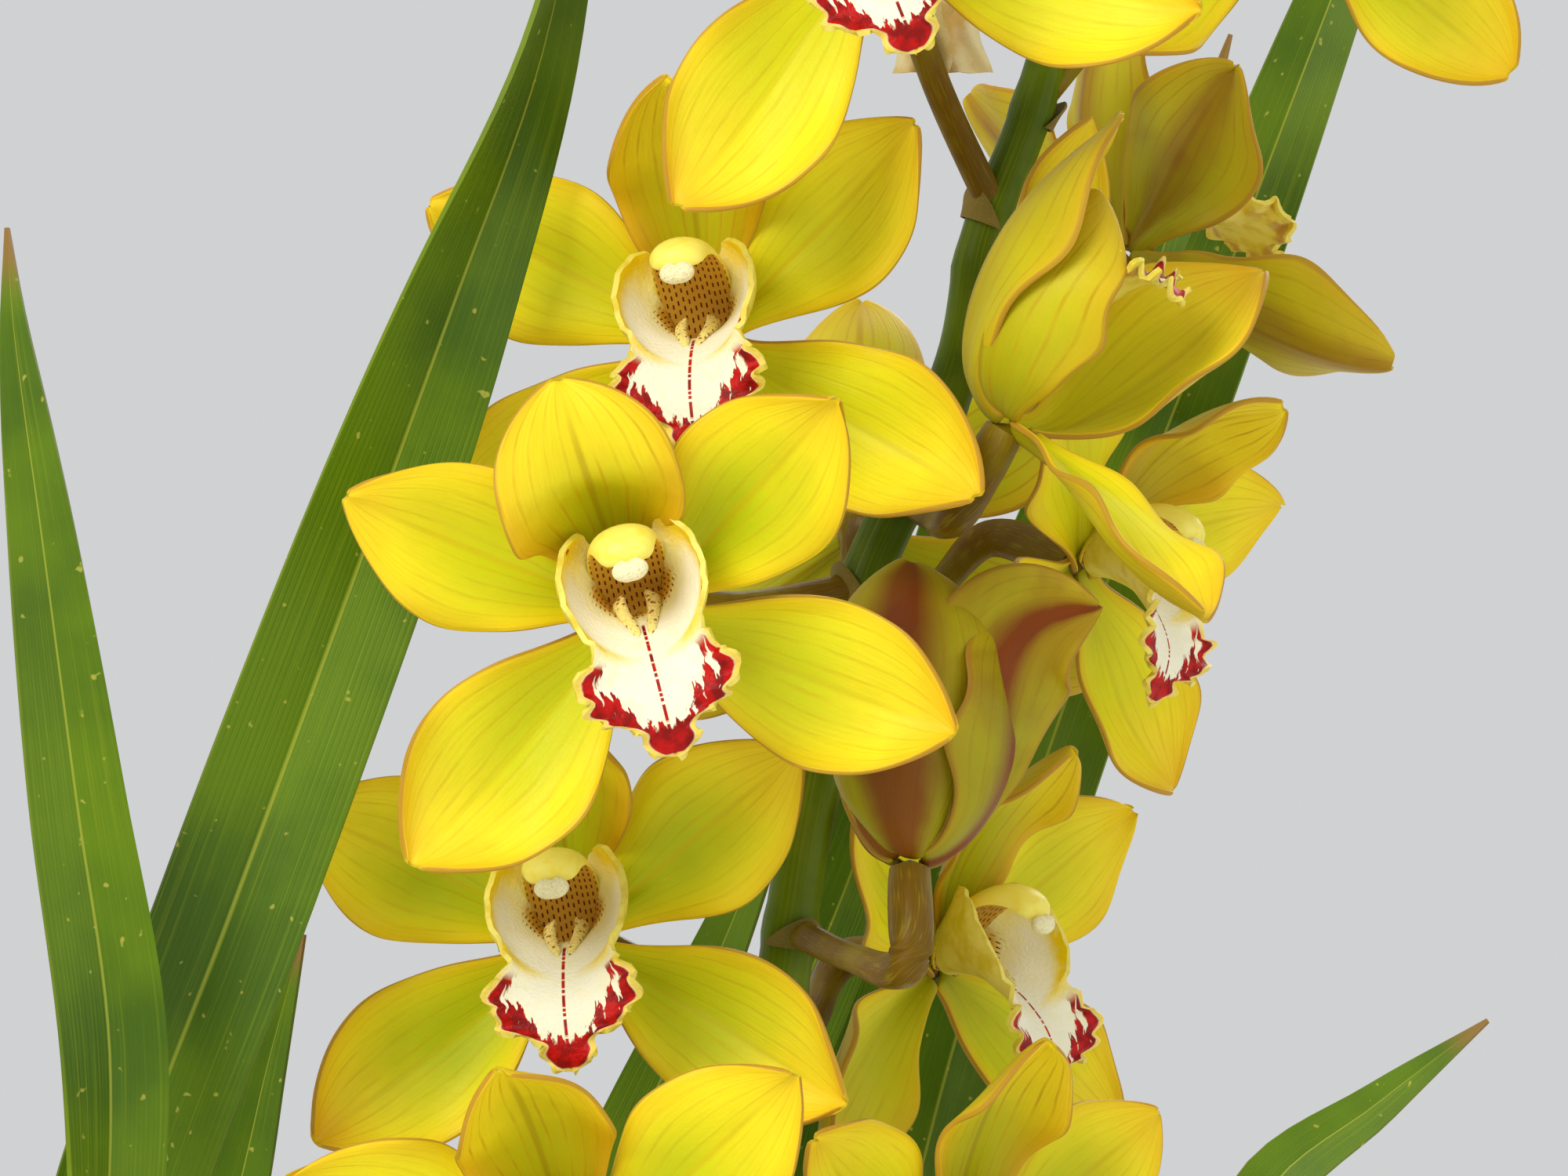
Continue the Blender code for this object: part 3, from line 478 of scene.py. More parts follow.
# %% Each flower's own tepals
OWN_TEPALS = {
    "flower_01": {
        "petal_left": {"angle": 305, "sweep": 4, "lean": [(0, 16), (0.5, 6), (1, 14)], "twist": -8,
                       "width": 0.0275},
        "petal_right": {"angle": 56, "sweep": -6, "lean": [(0, 20), (0.5, 24), (1, 34)], "twist": 10,
                        "width": 0.0295},
        "dorsal_sepal": {"angle": -8, "lean": [(0, 12), (0.3, 32), (0.56, 60), (0.66, 16), (1, -10)],
                         "length": 0.0455, "width": 0.0325, "curl": (40, 60, 40, 30)},
        "sepal_right": {"angle": 125, "lean": [(0, 4), (0.5, 6), (1, 30)], "twist": 8},
        "sepal_left": {"angle": 235, "lean": [(0, 0), (0.5, 6), (1, 30)], "width": 0.034, "twist": -6},
    },
    "flower_05": {
        "petal_left": {"angle": 306, "lean": [(0, 6), (0.14, 46), (0.4, 74), (0.7, 100), (1, 134)],
                       "width": 0.038, "curl": (60, 76, 76, 60), "length": 0.046, "widths": CUP_WIDTHS},
        "dorsal_sepal": {"angle": -24, "lean": [(0, 0), (0.1, 35), (0.32, 76), (0.6, 94), (1, 112)],
                         "length": 0.06, "width": 0.033, "curl": (50, 60, 50, 40)},
        "petal_right": {"angle": 40, "lean": [(0, 6), (0.2, 50), (0.5, 72), (1, 84)], "length": 0.056},
        "sepal_right": {"lean": [(0, 4), (0.2, 42), (0.5, 62), (1, 72)], "width": 0.036,
                        "curl": (50, 50, 50, 50)},
        "sepal_left": {"angle": 203, "lean": [(0, 4), (0.5, -14), (1, 6)], "width": 0.03,
                       "curl": (50, 50, 54, 50)},
    },
    "flower_07": {
        "dorsal_sepal": {"angle": 4, "lean": [(0, 0), (0.1, 38), (0.32, 78), (0.7, 94), (1, 118)],
                         "length": 0.06, "width": 0.044, "curl": (80, 84, 76, 60), "widths": CUP_WIDTHS},
        "petal_left": {"angle": 286, "length": 0.064, "width": 0.033, "twist": 72, "curl": (30, 20, 14, 10),
                       "lean": [(0, 6), (0.16, 58), (0.44, 86), (0.66, 62), (0.82, 20), (1, 0)]},
        "sepal_left": {"angle": 262, "lean": [(0, 0), (0.12, 40), (0.4, 74), (0.75, 92), (1, 104)],
                       "width": 0.04, "widths": CUP_WIDTHS},
        "petal_right": {"angle": 62, "lean": [(0, 8), (0.16, 62), (0.4, 88), (1, 106)], "widths": CUP_WIDTHS},
    },
}
CASTS = {                       # how bronzed and how green a flower's tepals are
    "flower_01": (0, 0.45), "flower_02": (0, 0.35), "flower_03": (0, 0.5),
    "flower_04": (0, 0.3), "flower_05": (0.15, 0.15), "flower_06": (0.08, 0.3),
    "flower_07": (0.85, 0.3), "flower_08": (0.1, 0.4), "flower_09": (0, 0.45),
    "flower_10": (0.1, 0.4), "flower_11": (0.05, 0.4), "flower_12": (0.45, 0.1),
    "flower_13": (0.12, 0.3),
}
TEPAL_THICK = 0.0011
TEPAL_GRID = (14, 24)

chance = np.random.default_rng(41)
for flower_name, flower in FLOWERS.items():
    bronze, green = CASTS[flower_name]
    for tepal_name, tepal in TEPALS.items():
        own = {"sweep": chance.uniform(-7, 7), "twist": chance.uniform(-9, 9), "phase": chance.random(),
               "angle": tepal["angle"] + chance.uniform(-4, 4)}
        own.update(OWN_TEPALS.get(flower_name, {}).get(tepal_name, {}))
        shape = lambda u, v: placed(flower, blade(tepal, "closed" in flower, own, u, v))
        casts = {"bronze": bronze + chance.uniform(0, 0.06), "green": green + chance.uniform(-0.1, 0.1)}
        piece = grow(f"{flower_name}_{tepal_name}", TEPAL_GRID, shape, "perianth", flower_name + "_perianth",
                     tepal["skin"], tepal_back, wall=TEPAL_THICK, rounds=1, marks=casts)
print("tepals:", 5 * len(FLOWERS), "with", len(piece.data.polygons), "faces each")

# %% [markdown]
# ## The lip: the finish
#
# The lip is the landing place for a bee, and its colours lead inwards. It is cream white, its side
# lobes turn yellow at the rim, and the mid lobe has a crimson band just inside a pale frilled rim.
# The band runs inwards in streaks, the pointed end is crimson all over, a thin crimson dashed line
# runs down the middle, and the throat is ochre with rows of maroon dashes.
#
# These bands follow the lip's own rim, not its map, so each point of the lip keeps three distances
# in millimetres: how far it is inside the rim, how far behind the outline, and how far from the
# middle line.

# %% Lip finish
def dash_rows(side_mm, along_mm):
    """Rows of short dashes about 0.9 mm apart, each row started at its own place."""
    tree = side_mm.id_data
    row = node(tree, "Math", {0: side_mm, 1: 0.9}, operation="DIVIDE")
    number = node(tree, "Math", {0: row}, operation="FLOOR")
    start = node(tree, "TexWhiteNoise", {"W": number}, noise_dimensions="1D", out="Value")
    length = added(both(along_mm, 0.55), both(start, 9))
    off_row, off_dash = (off_half(node(tree, "Math", {0: run}, operation="FRACT")) for run in (row, length))
    return both(soft_step(off_row, 0.2, 0.11), soft_step(off_dash, 0.3, 0.22))


def lip_material(name):
    """Thin fleshy lip: satin, velvety where it is crimson."""
    made, tree, shader, solid = new_material(
        name, 0.48, Subsurface_Weight=0.4, Subsurface_Scale=0.006, Subsurface_Radius=(1, 0.8, 0.4),
        Specular_IOR_Level=0.25, IOR=1.42)
    _, v = on_sheet(tree)
    rim, ahead, aside = (kept(tree, key) for key in ("rim_mm", "ahead_mm", "side_mm"))
    off_middle = node(tree, "Math", {0: aside}, operation="ABSOLUTE")
    mottle = node(tree, "TexNoise", {"Vector": solid, "Scale": 420, "Detail": 4})

    near_rim = soft_step(added(rim, both(mottle, 2.5)), 11, 4)
    lobe_side = both(soft_step(v, 0.53, 0.47), near_rim)
    skin = laid_over("FCF4D2", "F6CC10", lobe_side)
    skin = laid_over(skin, "FBF0A6", soft_step(v, 0.34, 0.12))
    ochre = both(soft_step(v, 0.2, 0.11), soft_step(off_middle, 12, 8))
    skin = laid_over(skin, "CC9A2C", ochre)
    skin = laid_over(skin, "FBF0A8", both(soft_step(mottle, 0.5, 0.75), 0.4))

    streak_place = node(tree, "CombineXYZ", {0: both(aside, 0.8), 1: both(v, 7)})
    streak = node(tree, "TexNoise", {"Vector": streak_place, "Scale": 1, "Detail": 3, "Roughness": 0.6})
    band = soft_step(added(v, both(streak, 0.1)), 0.855, 0.875)             # the pointed end
    for distance, least, reach in ((ahead, -0.22, 19), (rim, -0.18, 9)):    # in from the tip and the side
        reached = both(added(streak, least), reach)
        past = node(tree, "Math", {0: reached, 1: distance}, operation="SUBTRACT")
        band = node(tree, "Math", {0: band, 1: soft_step(past, -0.3, 0.3)}, operation="MAXIMUM")
    band = both(both(band, soft_step(rim, 0.65, 1.1)), soft_step(v, 0.51, 0.54))
    dash_place = node(tree, "CombineXYZ", {0: both(v, 42)})
    dash = node(tree, "TexNoise", {"Vector": dash_place, "Scale": 1, "Detail": 1})
    dashed = both(soft_step(dash, 0.4, 0.46), soft_step(v, 0.27, 0.3))
    midline = both(soft_step(off_middle, 0.36, 0.18), dashed)
    spots = node(tree, "TexVoronoi", {"Vector": solid, "Scale": 330, "Randomness": 1}, out=None)
    chosen = soft_step(node(tree, "SeparateXYZ", {0: spots.outputs["Color"]}), 0.74, 0.78)  # a few of them
    spot_on = both(soft_step(spots.outputs["Distance"], 0.24, 0.16), chosen)
    fleck = both(spot_on, both(soft_step(rim, 3, 1.2), soft_step(v, 0.3, 0.36)))

    crimson = laid_over("780402", "B80806", soft_step(mottle, 0.35, 0.65))
    for mask in (band, midline, fleck):
        skin = laid_over(skin, crimson, mask)
    throat = both(soft_step(v, 0.22, 0.16), soft_step(off_middle, 11, 8))
    skin = laid_over(skin, "5E0E06", both(dash_rows(aside, both(v, 36)), throat))
    frill = both(soft_step(rim, 1, 0.6), soft_step(v, 0.5, 0.54))
    skin = laid_over(skin, "F3C83A", both(frill, 0.9))
    grain = node(tree, "TexNoise", {"Vector": solid, "Scale": 1500, "Detail": 2})
    wear(tree, shader, skin, added(grain, band), 0.5, 0.0005)
    return made


lip_face = lip_material("lip_cream_and_crimson")
lip_back, tree, shader, solid = new_material("lip_back_pale_yellow", 0.5, Subsurface_Weight=0.12,
                                             Subsurface_Scale=0.003)
mottle = node(tree, "TexNoise", {"Vector": solid, "Scale": 300, "Detail": 4})
rim = kept(tree, "rim_mm")
_, v = on_sheet(tree)
shown = both(both(soft_step(rim, 0.6, 1.4), soft_step(rim, 6, 3)),
             both(soft_step(v, 0.52, 0.56), soft_step(mottle, 0.4, 0.6)))
skin = laid_over("EBDB62", "D9C22C", soft_step(mottle, 0.4, 0.7))
skin = laid_over(skin, "B06A3C", both(shown, 0.6))
wear(tree, shader, skin, mottle, 0.4, 0.0004)
print("lip finishes:", lip_face.name, lip_back.name)

# %% [markdown]
# ## The lip: the shape
#
# Seen from the side the lip runs forward out of the throat and then turns down. Its side lobes curl
# up round the column like a collar, a notch parts them from the mid lobe, and the mid lobe is a
# broad tongue with a ruffled edge that narrows to a blunt point. So it is one sheet with a midline,
# a half width and a curl, and a ruffle whose waves are counted along its rim.

# %% Lip shape
LIP_MIDLINE = [(0, (0, -0.002, 0)), (0.12, (0, -0.0065, 0.0004)), (0.3, (0, -0.013, -0.0008)),
               (0.42, (0, -0.0173, -0.0032)), (0.5, (0, -0.02, -0.0054)), (0.57, (0, -0.0222, -0.0077)),
               (0.66, (0, -0.024, -0.0105)), (0.76, (0, -0.0248, -0.0137)), (0.88, (0, -0.0248, -0.0174)),
               (1, (0, -0.0238, -0.0206))]
LIP_LENGTH_MM = 36
LIP_HALF_WIDTH = [(0, 0.0081), (0.12, 0.0145), (0.26, 0.0212), (0.34, 0.0232), (0.4, 0.0212),
                  (0.45, 0.0158), (0.485, 0.0104), (0.515, 0.01), (0.56, 0.012), (0.61, 0.0127),
                  (0.68, 0.0118), (0.74, 0.0098), (0.79, 0.006), (0.83, 0.0042), (0.88, 0.0045),
                  (0.94, 0.0036), (0.98, 0.002), (1, 0.0004)]
LIP_CURL = [(0, 110), (0.12, 134), (0.26, 140), (0.34, 132), (0.4, 112), (0.45, 84), (0.495, 56),
            (0.57, 34), (0.63, 22), (0.72, 12), (0.85, 8), (1, 10)]
# How far the lip's upward direction tips forwards, in degrees: the collar stands up and a little
# back, and the mid lobe faces the visitor.
LIP_TIP = [(0, 0), (0.12, -6), (0.3, -14), (0.42, -6), (0.5, 22), (0.57, 48), (0.66, 68), (0.76, 84),
           (0.88, 92), (1, 104)]
# Where along the lip its outline lies ahead of a place, by that place's distance from the middle.
OUTLINE_AHEAD = [(0.4, 1), (2.6, 0.965), (4.6, 0.92), (5.2, 0.82), (8, 0.78), (9.8, 0.75), (11.8, 0.7),
                 (12.7, 0.62)]
RUFFLE_LENGTH = 0.0052
RUFFLE_HEIGHT = 0.0011
LIP_THICK = 0.0009
LIP_GRID = (48, 96)


def lip_point(u, v, high=0):
    """A place on the lip's upper side, and high above it."""
    tip = np.radians(curve(LIP_TIP, v))
    up = np.stack([0 * v, -np.sin(tip), np.cos(tip)], 1)
    half = curve(LIP_HALF_WIDTH, v)
    curl = np.radians(curve(LIP_CURL, v))
    radius = half / curl
    bend = u * curl
    face = up * np.cos(bend)[:, None] - np.array([1, 0, 0]) * np.sin(bend)[:, None]
    place = (curve(LIP_MIDLINE, v) + up * (radius * (1 - np.cos(bend)))[:, None]
             + np.array([1, 0, 0]) * (radius * np.sin(bend))[:, None])
    return place + face * np.reshape(high, (-1, 1)), face


def ruffled_lip(u, v, phase):
    """The lip with the ruffle of its mid lobe's edge, which dies away inwards."""
    steps = np.linspace(0, 1, 301)
    rim, _ = lip_point(np.ones_like(steps), steps)
    run = np.concatenate([[0], np.cumsum(np.linalg.norm(np.diff(rim, axis=0), axis=1))])
    waves = np.interp(v, steps, run) / RUFFLE_LENGTH + 0.25 * np.sign(u)
    wave = np.sin(math.tau * waves + phase + 1.7 * np.sin(math.tau * waves * 0.31 + phase))
    short = np.sin(math.tau * waves * 1.73 + 2.3 * phase)
    strong = np.interp(v, [0, 0.44, 0.5, 0.56, 0.93, 1], [0.1, 0.15, 0.6, 1.1, 0.9, 0.3])
    flat = 1 + 0.075 * strong * np.abs(u) ** 3 * (0.7 * wave + 0.5 * short)
    place, _ = lip_point(-u * flat, v, RUFFLE_HEIGHT * strong * np.abs(u) ** 4 * np.cos(
        math.tau * waves + 1.4 * phase))
    return place


def off_middle_mm(u, v):
    return 1000 * curve(LIP_HALF_WIDTH, v) * u


def inside_rim_mm(u, v):
    return np.minimum(1000 * curve(LIP_HALF_WIDTH, v) * (1 - np.abs(u)), LIP_LENGTH_MM * (1 - v))


def behind_outline_mm(u, v):
    return LIP_LENGTH_MM * (np.interp(np.abs(off_middle_mm(u, v)), *zip(*OUTLINE_AHEAD)) - v)


for k, (flower_name, flower) in enumerate(FLOWERS.items()):
    phase = 1.9 * k                                             # no two ruffles are alike
    fold = np.array(flower.get("closed", (1, 1, 1)))            # a closed cup presses its lip together
    shape = lambda u, v: placed(flower, ruffled_lip(u, v, phase) * fold)
    piece = grow(flower_name + "_lip_blade", LIP_GRID, shape, "lip", flower_name + "_lip", lip_face, lip_back,
                 wall=LIP_THICK, marks={"rim_mm": inside_rim_mm, "ahead_mm": behind_outline_mm,
                                        "side_mm": off_middle_mm})
print("lips:", len(FLOWERS), "with", len(piece.data.polygons), "faces each")

# %% [markdown]
# ## Callus keels
#
# Two soft fuzzy ridges run side by side down the lip's middle, cream yellow with maroon dots, and
# their front ends turn up. Each is a rolled grid whose seam is welded.

# %% Callus keels
def fuzzy_material(name, base, deep, dots):
    """Downy plant skin: broken, matt highlights."""
    made, tree, shader, solid = new_material(name, 0.7, Subsurface_Weight=0.2, Subsurface_Scale=0.002,
                                             Specular_IOR_Level=0.25)
    fuzz = node(tree, "TexNoise", {"Vector": solid, "Scale": 2600, "Detail": 3})
    skin = laid_over(base, deep, soft_step(fuzz, 0.45, 0.75))
    spots = node(tree, "TexVoronoi", {"Vector": solid, "Scale": 950}, out="Distance")
    skin = laid_over(skin, "7A1206", both(soft_step(spots, 0.34, 0.24), dots))
    wear(tree, shader, skin, fuzz, 0.8, 0.0005)
    return made


callus_skin = fuzzy_material("callus_downy_cream", "F4E48C", "DDBD4E", 0.8)
KEEL_SPAN = (0.09, 0.37)        # from where to where along the lip
KEEL_SUNK = 0.0002              # the ridge starts this far inside the lip
KEEL_APART = [(0, 0.004), (0.5, 0.0026), (1, 0.001)]


def keel(side, u, v):
    """A ridge on the lip: it stands up at the throat and runs in to the middle as it comes forward."""
    place = KEEL_SPAN[0] + (KEEL_SPAN[1] - KEEL_SPAN[0]) * v
    half = curve(LIP_HALF_WIDTH, place)
    wide = curve([(0, 0), (0.06, 0.0011), (0.3, 0.0012), (0.9, 0.0008), (1, 0)], v)
    tall = curve([(0, 0.001), (0.06, 0.0032), (0.25, 0.003), (0.6, 0.0018), (0.95, 0.0008), (1, 0)], v)
    across = (side * curve(KEEL_APART, v) + wide * np.sin(math.pi * u)) / half
    point, _ = lip_point(across, place, tall * (0.5 - 0.5 * np.cos(math.pi * u)) - KEEL_SUNK)
    return point


for flower_name, flower in FLOWERS.items():
    for side, word in ((-1, "left"), (1, "right")):
        grow(f"{flower_name}_keel_{word}", (10, 24), lambda u, v: placed(flower, keel(side, u, v)),
             "lip", flower_name + "_lip", callus_skin)
print("keels:", 2 * len(FLOWERS))

# %% [markdown]
# ## Column and anther cap
#
# The column is the fused stamen and style. It arches forward over the lip like a hood, yellow above,
# flat and marked with maroon dashes below, and it ends in a cream cap of two lobes over the pollen.

# %% Column and cap finishes
def column_material(name):
    """Smooth waxy column, ochre with rows of maroon dashes in the hollow of its lower side."""
    made, tree, shader, solid = new_material(
        name, 0.42, Subsurface_Weight=0.2, Subsurface_Scale=0.003, Subsurface_Radius=(1, 0.85, 0.3),
        Specular_IOR_Level=0.3)
    mottle = node(tree, "TexNoise", {"Vector": solid, "Scale": 500, "Detail": 3})
    _, v = on_sheet(tree)
    skin = laid_over("EED838", "FCEB6A", soft_step(v, 0.3, 0.85))
    skin = laid_over(skin, "F7DC30", both(soft_step(mottle, 0.45, 0.7), 0.5))
    hollow = both(kept(tree, "under"), soft_step(v, 0.86, 0.7))
    skin = laid_over(skin, "D0A034", hollow)
    dashes = dash_rows(kept(tree, "side_mm"), both(v, 30))
    skin = laid_over(skin, "5E0E06", both(dashes, hollow))
    wear(tree, shader, skin, mottle, 0.3, 0.0003)
    return made


column_skin = column_material("column_waxy_yellow")
cap_skin = fuzzy_material("anther_cap_cream", "FCF5C4", "EADC9A", 0)

# %% Column and cap shapes
COLUMN_LINE = line_keys([(0, -0.0012, -0.0006), (0, -0.0034, 0.005), (0, -0.0074, 0.0096),
                         (0, -0.0125, 0.0123), (0, -0.0175, 0.0122), (0, -0.021, 0.01)])
COLUMN_WIDTH = [(0, 0.004), (0.15, 0.0058), (0.4, 0.0063), (0.65, 0.0057), (0.88, 0.0047), (1, 0.0034)]
COLUMN_DEPTH = [(0, 0.0018), (0.3, 0.0026), (0.7, 0.0034), (0.9, 0.0032), (1, 0.002)]
CAP_AT = (0, -0.0216, 0.0094)
CAP_SIZE = (0.0029, 0.0015, 0.0019)


def column_shape(u, v):
    """An arched rod, domed above and hollowed below, with both ends drawn shut."""
    along = heading(COLUMN_LINE, v)
    up = np.stack([0 * v, along[:, 2], -along[:, 1]], 1)
    turn = math.pi * u
    ends = np.sqrt(np.clip(np.minimum(v / 0.04, (1 - v) / 0.04), 0, 1))
    lower = np.sin(turn) < 0
    deep = np.where(lower, 0.25 * np.sin(turn) + 0.55 * np.sin(turn) ** 2, np.sin(turn))
    across = curve(COLUMN_WIDTH, v) * ends * np.cos(turn)
    return (curve(COLUMN_LINE, v) + np.array([1, 0, 0]) * across[:, None]
            + up * (curve(COLUMN_DEPTH, v) * ends * deep)[:, None])


def cap_shape(u, v):
    """A small ball with a notch down its middle, so that it has two lobes."""
    turn, tilt = math.pi * u, math.pi * v
    x, z = np.cos(turn) * np.sin(tilt), np.cos(tilt)
    y = np.sin(turn) * np.sin(tilt)
    notch = 1 - 0.3 * np.exp(-(x / 0.22) ** 2) * (0.6 + 0.4 * z)
    return np.array(CAP_AT) + np.array(CAP_SIZE) * np.stack([x, y * notch, z * notch], 1)


for flower_name, flower in FLOWERS.items():
    arch = np.array([1, 1, 0.6 if "closed" in flower else 1])   # it lies flatter in a closed cup
    grow(flower_name + "_column_arch", (28, 30), lambda u, v: placed(flower, column_shape(u, v) * arch),
         "column", flower_name + "_column", column_skin,
         marks={"under": lambda u, v: np.clip(-3 * np.sin(math.pi * u) - 0.3, 0, 1),
                "side_mm": lambda u, v: 1000 * curve(COLUMN_WIDTH, v) * np.cos(math.pi * u)})
    grow(flower_name + "_anther_cap", (28, 18), lambda u, v: placed(flower, cap_shape(u, v) * arch),
         "column", flower_name + "_column", cap_skin)
print("columns and caps:", 2 * len(FLOWERS))

# %% [markdown]
# ## The spike
#
# The stem is as thick as a pencil at its foot and leans as it climbs. At each of its nodes it turns
# a few degrees away from the pedicel that leaves it and keeps a small dry bract. A pedicel swells
# into the ribbed ovary behind its flower. Stem and pedicels are glossy olive, flushed with brown.

# %% Stem finish
def stem_material(name, stops, streak_colour, roughness):
    """Smooth cuticle over fibrous flesh: long fine streaks and a clear gloss."""
    made, tree, shader, solid = new_material(name, roughness, Specular_IOR_Level=0.15, IOR=1.45)
    cloud = node(tree, "TexNoise", {"Vector": solid, "Scale": 60, "Detail": 4})
    skin = node(tree, "ValToRGB", {0: cloud}, stops=stops)
    fibre = long_noise(*on_sheet(tree), 60, 14, 3)
    skin = laid_over(skin, streak_colour, both(soft_step(fibre, 0.5, 0.72), 0.6))
    wear(tree, shader, skin, fibre, 0.3, 0.0004)
    return made


stem_skin = stem_material("flower_stem_olive", [(0.25, "3A5204"), (0.45, "526604"), (0.62, "667A08"),
                                                (0.8, "6C6E0C")], "7C8A1C", 0.36)
pedicel_skin = stem_material("pedicel_bronze_olive", [(0.25, "5A4806"), (0.45, "74540A"), (0.62, "85700E"),
                                                      (0.8, "62780E")], "96821A", 0.36)
bract_skin = stem_material("bract_dry_papery", [(0.25, "6A5A1C"), (0.5, "86743A"), (0.8, "5E5C14")],
                           "9C8A54", 0.75)

# %% Stem shape
STEM_LINE = line_keys([
    (0.018, 0.004, 0.1725), (0.024, 0.004, 0.24), (0.036, 0.003, 0.34), (0.05, 0.002, 0.44),
    (0.0625, 0, 0.52), (0.068, 0, 0.56), (0.073, 0, 0.593), (0.0775, 0, 0.621),
    (0.087, 0, 0.661), (0.097, 0, 0.683), (0.1035, 0, 0.7), (0.107, 0, 0.719),
    (0.115, 0, 0.74), (0.1215, 0, 0.763), (0.1285, 0, 0.79), (0.137, 0, 0.815),
    (0.147, 0, 0.838)])
STEM_RADIUS = [(0, 0.0054), (0.55, 0.0047), (0.8, 0.004), (1, 0.0019)]
BUDS = {
    "bud_lower": {"at": (0.104, -0.014, 0.825), "points": (-0.62, -0.45, 0.64), "node": 0.79},
    "bud_middle": {"at": (0.164, 0.01, 0.842), "points": (0.75, 0.2, 0.63), "node": 0.812},
    "bud_upper": {"at": (0.147, -0.012, 0.864), "points": (0.2, -0.5, 0.84), "node": 0.835},
}
NODE_HEIGHTS = sorted(hung["node"] for hung in (*FLOWERS.values(), *BUDS.values()))


def rod(keys, radius, u, v, ribs=0, rib_depth=0):
    """A round rod along a line, drawn shut at both ends; ribs are ridges that run along it."""
    along = heading(keys, v)
    ends = curve(keys, np.array([0, 1]))
    lead = np.eye(3)[np.argmin(np.abs(ends[1] - ends[0]))]
    side = unit(lead - along * (along @ lead)[:, None])
    other = np.cross(along, side)
    turn = math.pi * u
    wide = radius(v) * (1 + rib_depth * np.cos(ribs * turn)) * np.where((v < 1e-6) | (v > 1 - 1e-6), 0, 1)
    return curve(keys, v) + side * (wide * np.cos(turn))[:, None] + other * (wide * np.sin(turn))[:, None]


def stem_place(height):
    """The stem's middle at a height, and its place along the stem."""
    share = np.linspace(0, 1, 801)
    line = curve(STEM_LINE, share)
    nearest = np.argmin(np.abs(line[:, 2] - height))
    return line[nearest], share[nearest]


def stem_radius(v):
    """The stem's taper, with a slight ring at each node."""
    rings = sum(np.exp(-((v - stem_place(height)[1]) / 0.0035) ** 2) for height in NODE_HEIGHTS)
    return curve(STEM_RADIUS, v) * (1 + 0.1 * rings)


piece = grow("spike_stem", (28, 260), lambda u, v: rod(STEM_LINE, stem_radius, u, v),
             "flower_stem", "flower_stem", stem_skin)
print("stem:", len(piece.data.polygons), "faces")

# %% Pedicels, ovaries and bracts
PEDICEL_RADIUS = 0.0026
OVARY_RADIUS = 0.0037
FLOWER_BACK = 0.001             # a flower's ring starts this far behind its middle
BRACT_THICK = 0.0004


def pedicel_line(start, end, facing):
    """Out of the stem, then into the flower along the way that it faces."""
    reach = np.linalg.norm(end - start)
    bend = end - facing * (0.42 * reach)
    sag = np.array([0, 0, -0.04 * reach])
    return line_keys([start, start + (bend - start) * 0.55 + sag, bend, end])


def pedicel_radius(v):
    """Slender, then swollen into the ovary, and drawn in again where the tepals leave it."""
    return curve([(0, PEDICEL_RADIUS), (0.4, PEDICEL_RADIUS * 0.95), (0.62, 0.0031), (0.86, OVARY_RADIUS),
                  (0.97, 0.0034), (1, 0.003)], v)


def bract_shape(place, side, u, v):
    """A pointed scale that clasps the stem and lets go of it at its tip."""
    centre, share = stem_place(place)
    along = heading(STEM_LINE, np.array([share]))[0]
    out = side - along * (side @ along)
    out /= np.linalg.norm(out)
    across = np.cross(along, out)
    wide = 0.42 * math.pi * (1 - v) ** 0.8 + 0.02
    grip = float(curve(STEM_RADIUS, np.array([share]))[0]) + 0.0006
    radius = grip * (1 + 0.1 * v) + 0.0012 * v ** 2
    turn = u * wide
    around = out * np.cos(turn)[:, None] + across * np.sin(turn)[:, None]
    return centre + along * (-0.003 + 0.0058 * v)[:, None] + around * radius[:, None]


for flower_name, flower in FLOWERS.items():
    turn = flower_turn(flower)
    facing = unit(turn @ np.array([0, -1, 0]))
    start, _ = stem_place(flower["node"])
    keys = pedicel_line(start, np.array(flower["at"]) - facing * FLOWER_BACK, facing)
    shape = lambda u, v: rod(keys, pedicel_radius, u, v, ribs=3, rib_depth=0.07)
    grow(flower_name + "_pedicel", (18, 44), shape, "flower_stem", "flower_stem", pedicel_skin)
    side = curve(keys, np.array([0.25]))[0] - start
    grow(flower_name + "_bract", (12, 10), lambda u, v: bract_shape(flower["node"], side, u, v),
         "flower_stem", "flower_stem", bract_skin, wall=-BRACT_THICK)
print("pedicels:", len(FLOWERS))

# %% [markdown]
# ## Buds
#
# The tip of the spike still has buds: pointed eggs, green at the root and yellow at the tip, with
# the seams of the three sepals down their length.

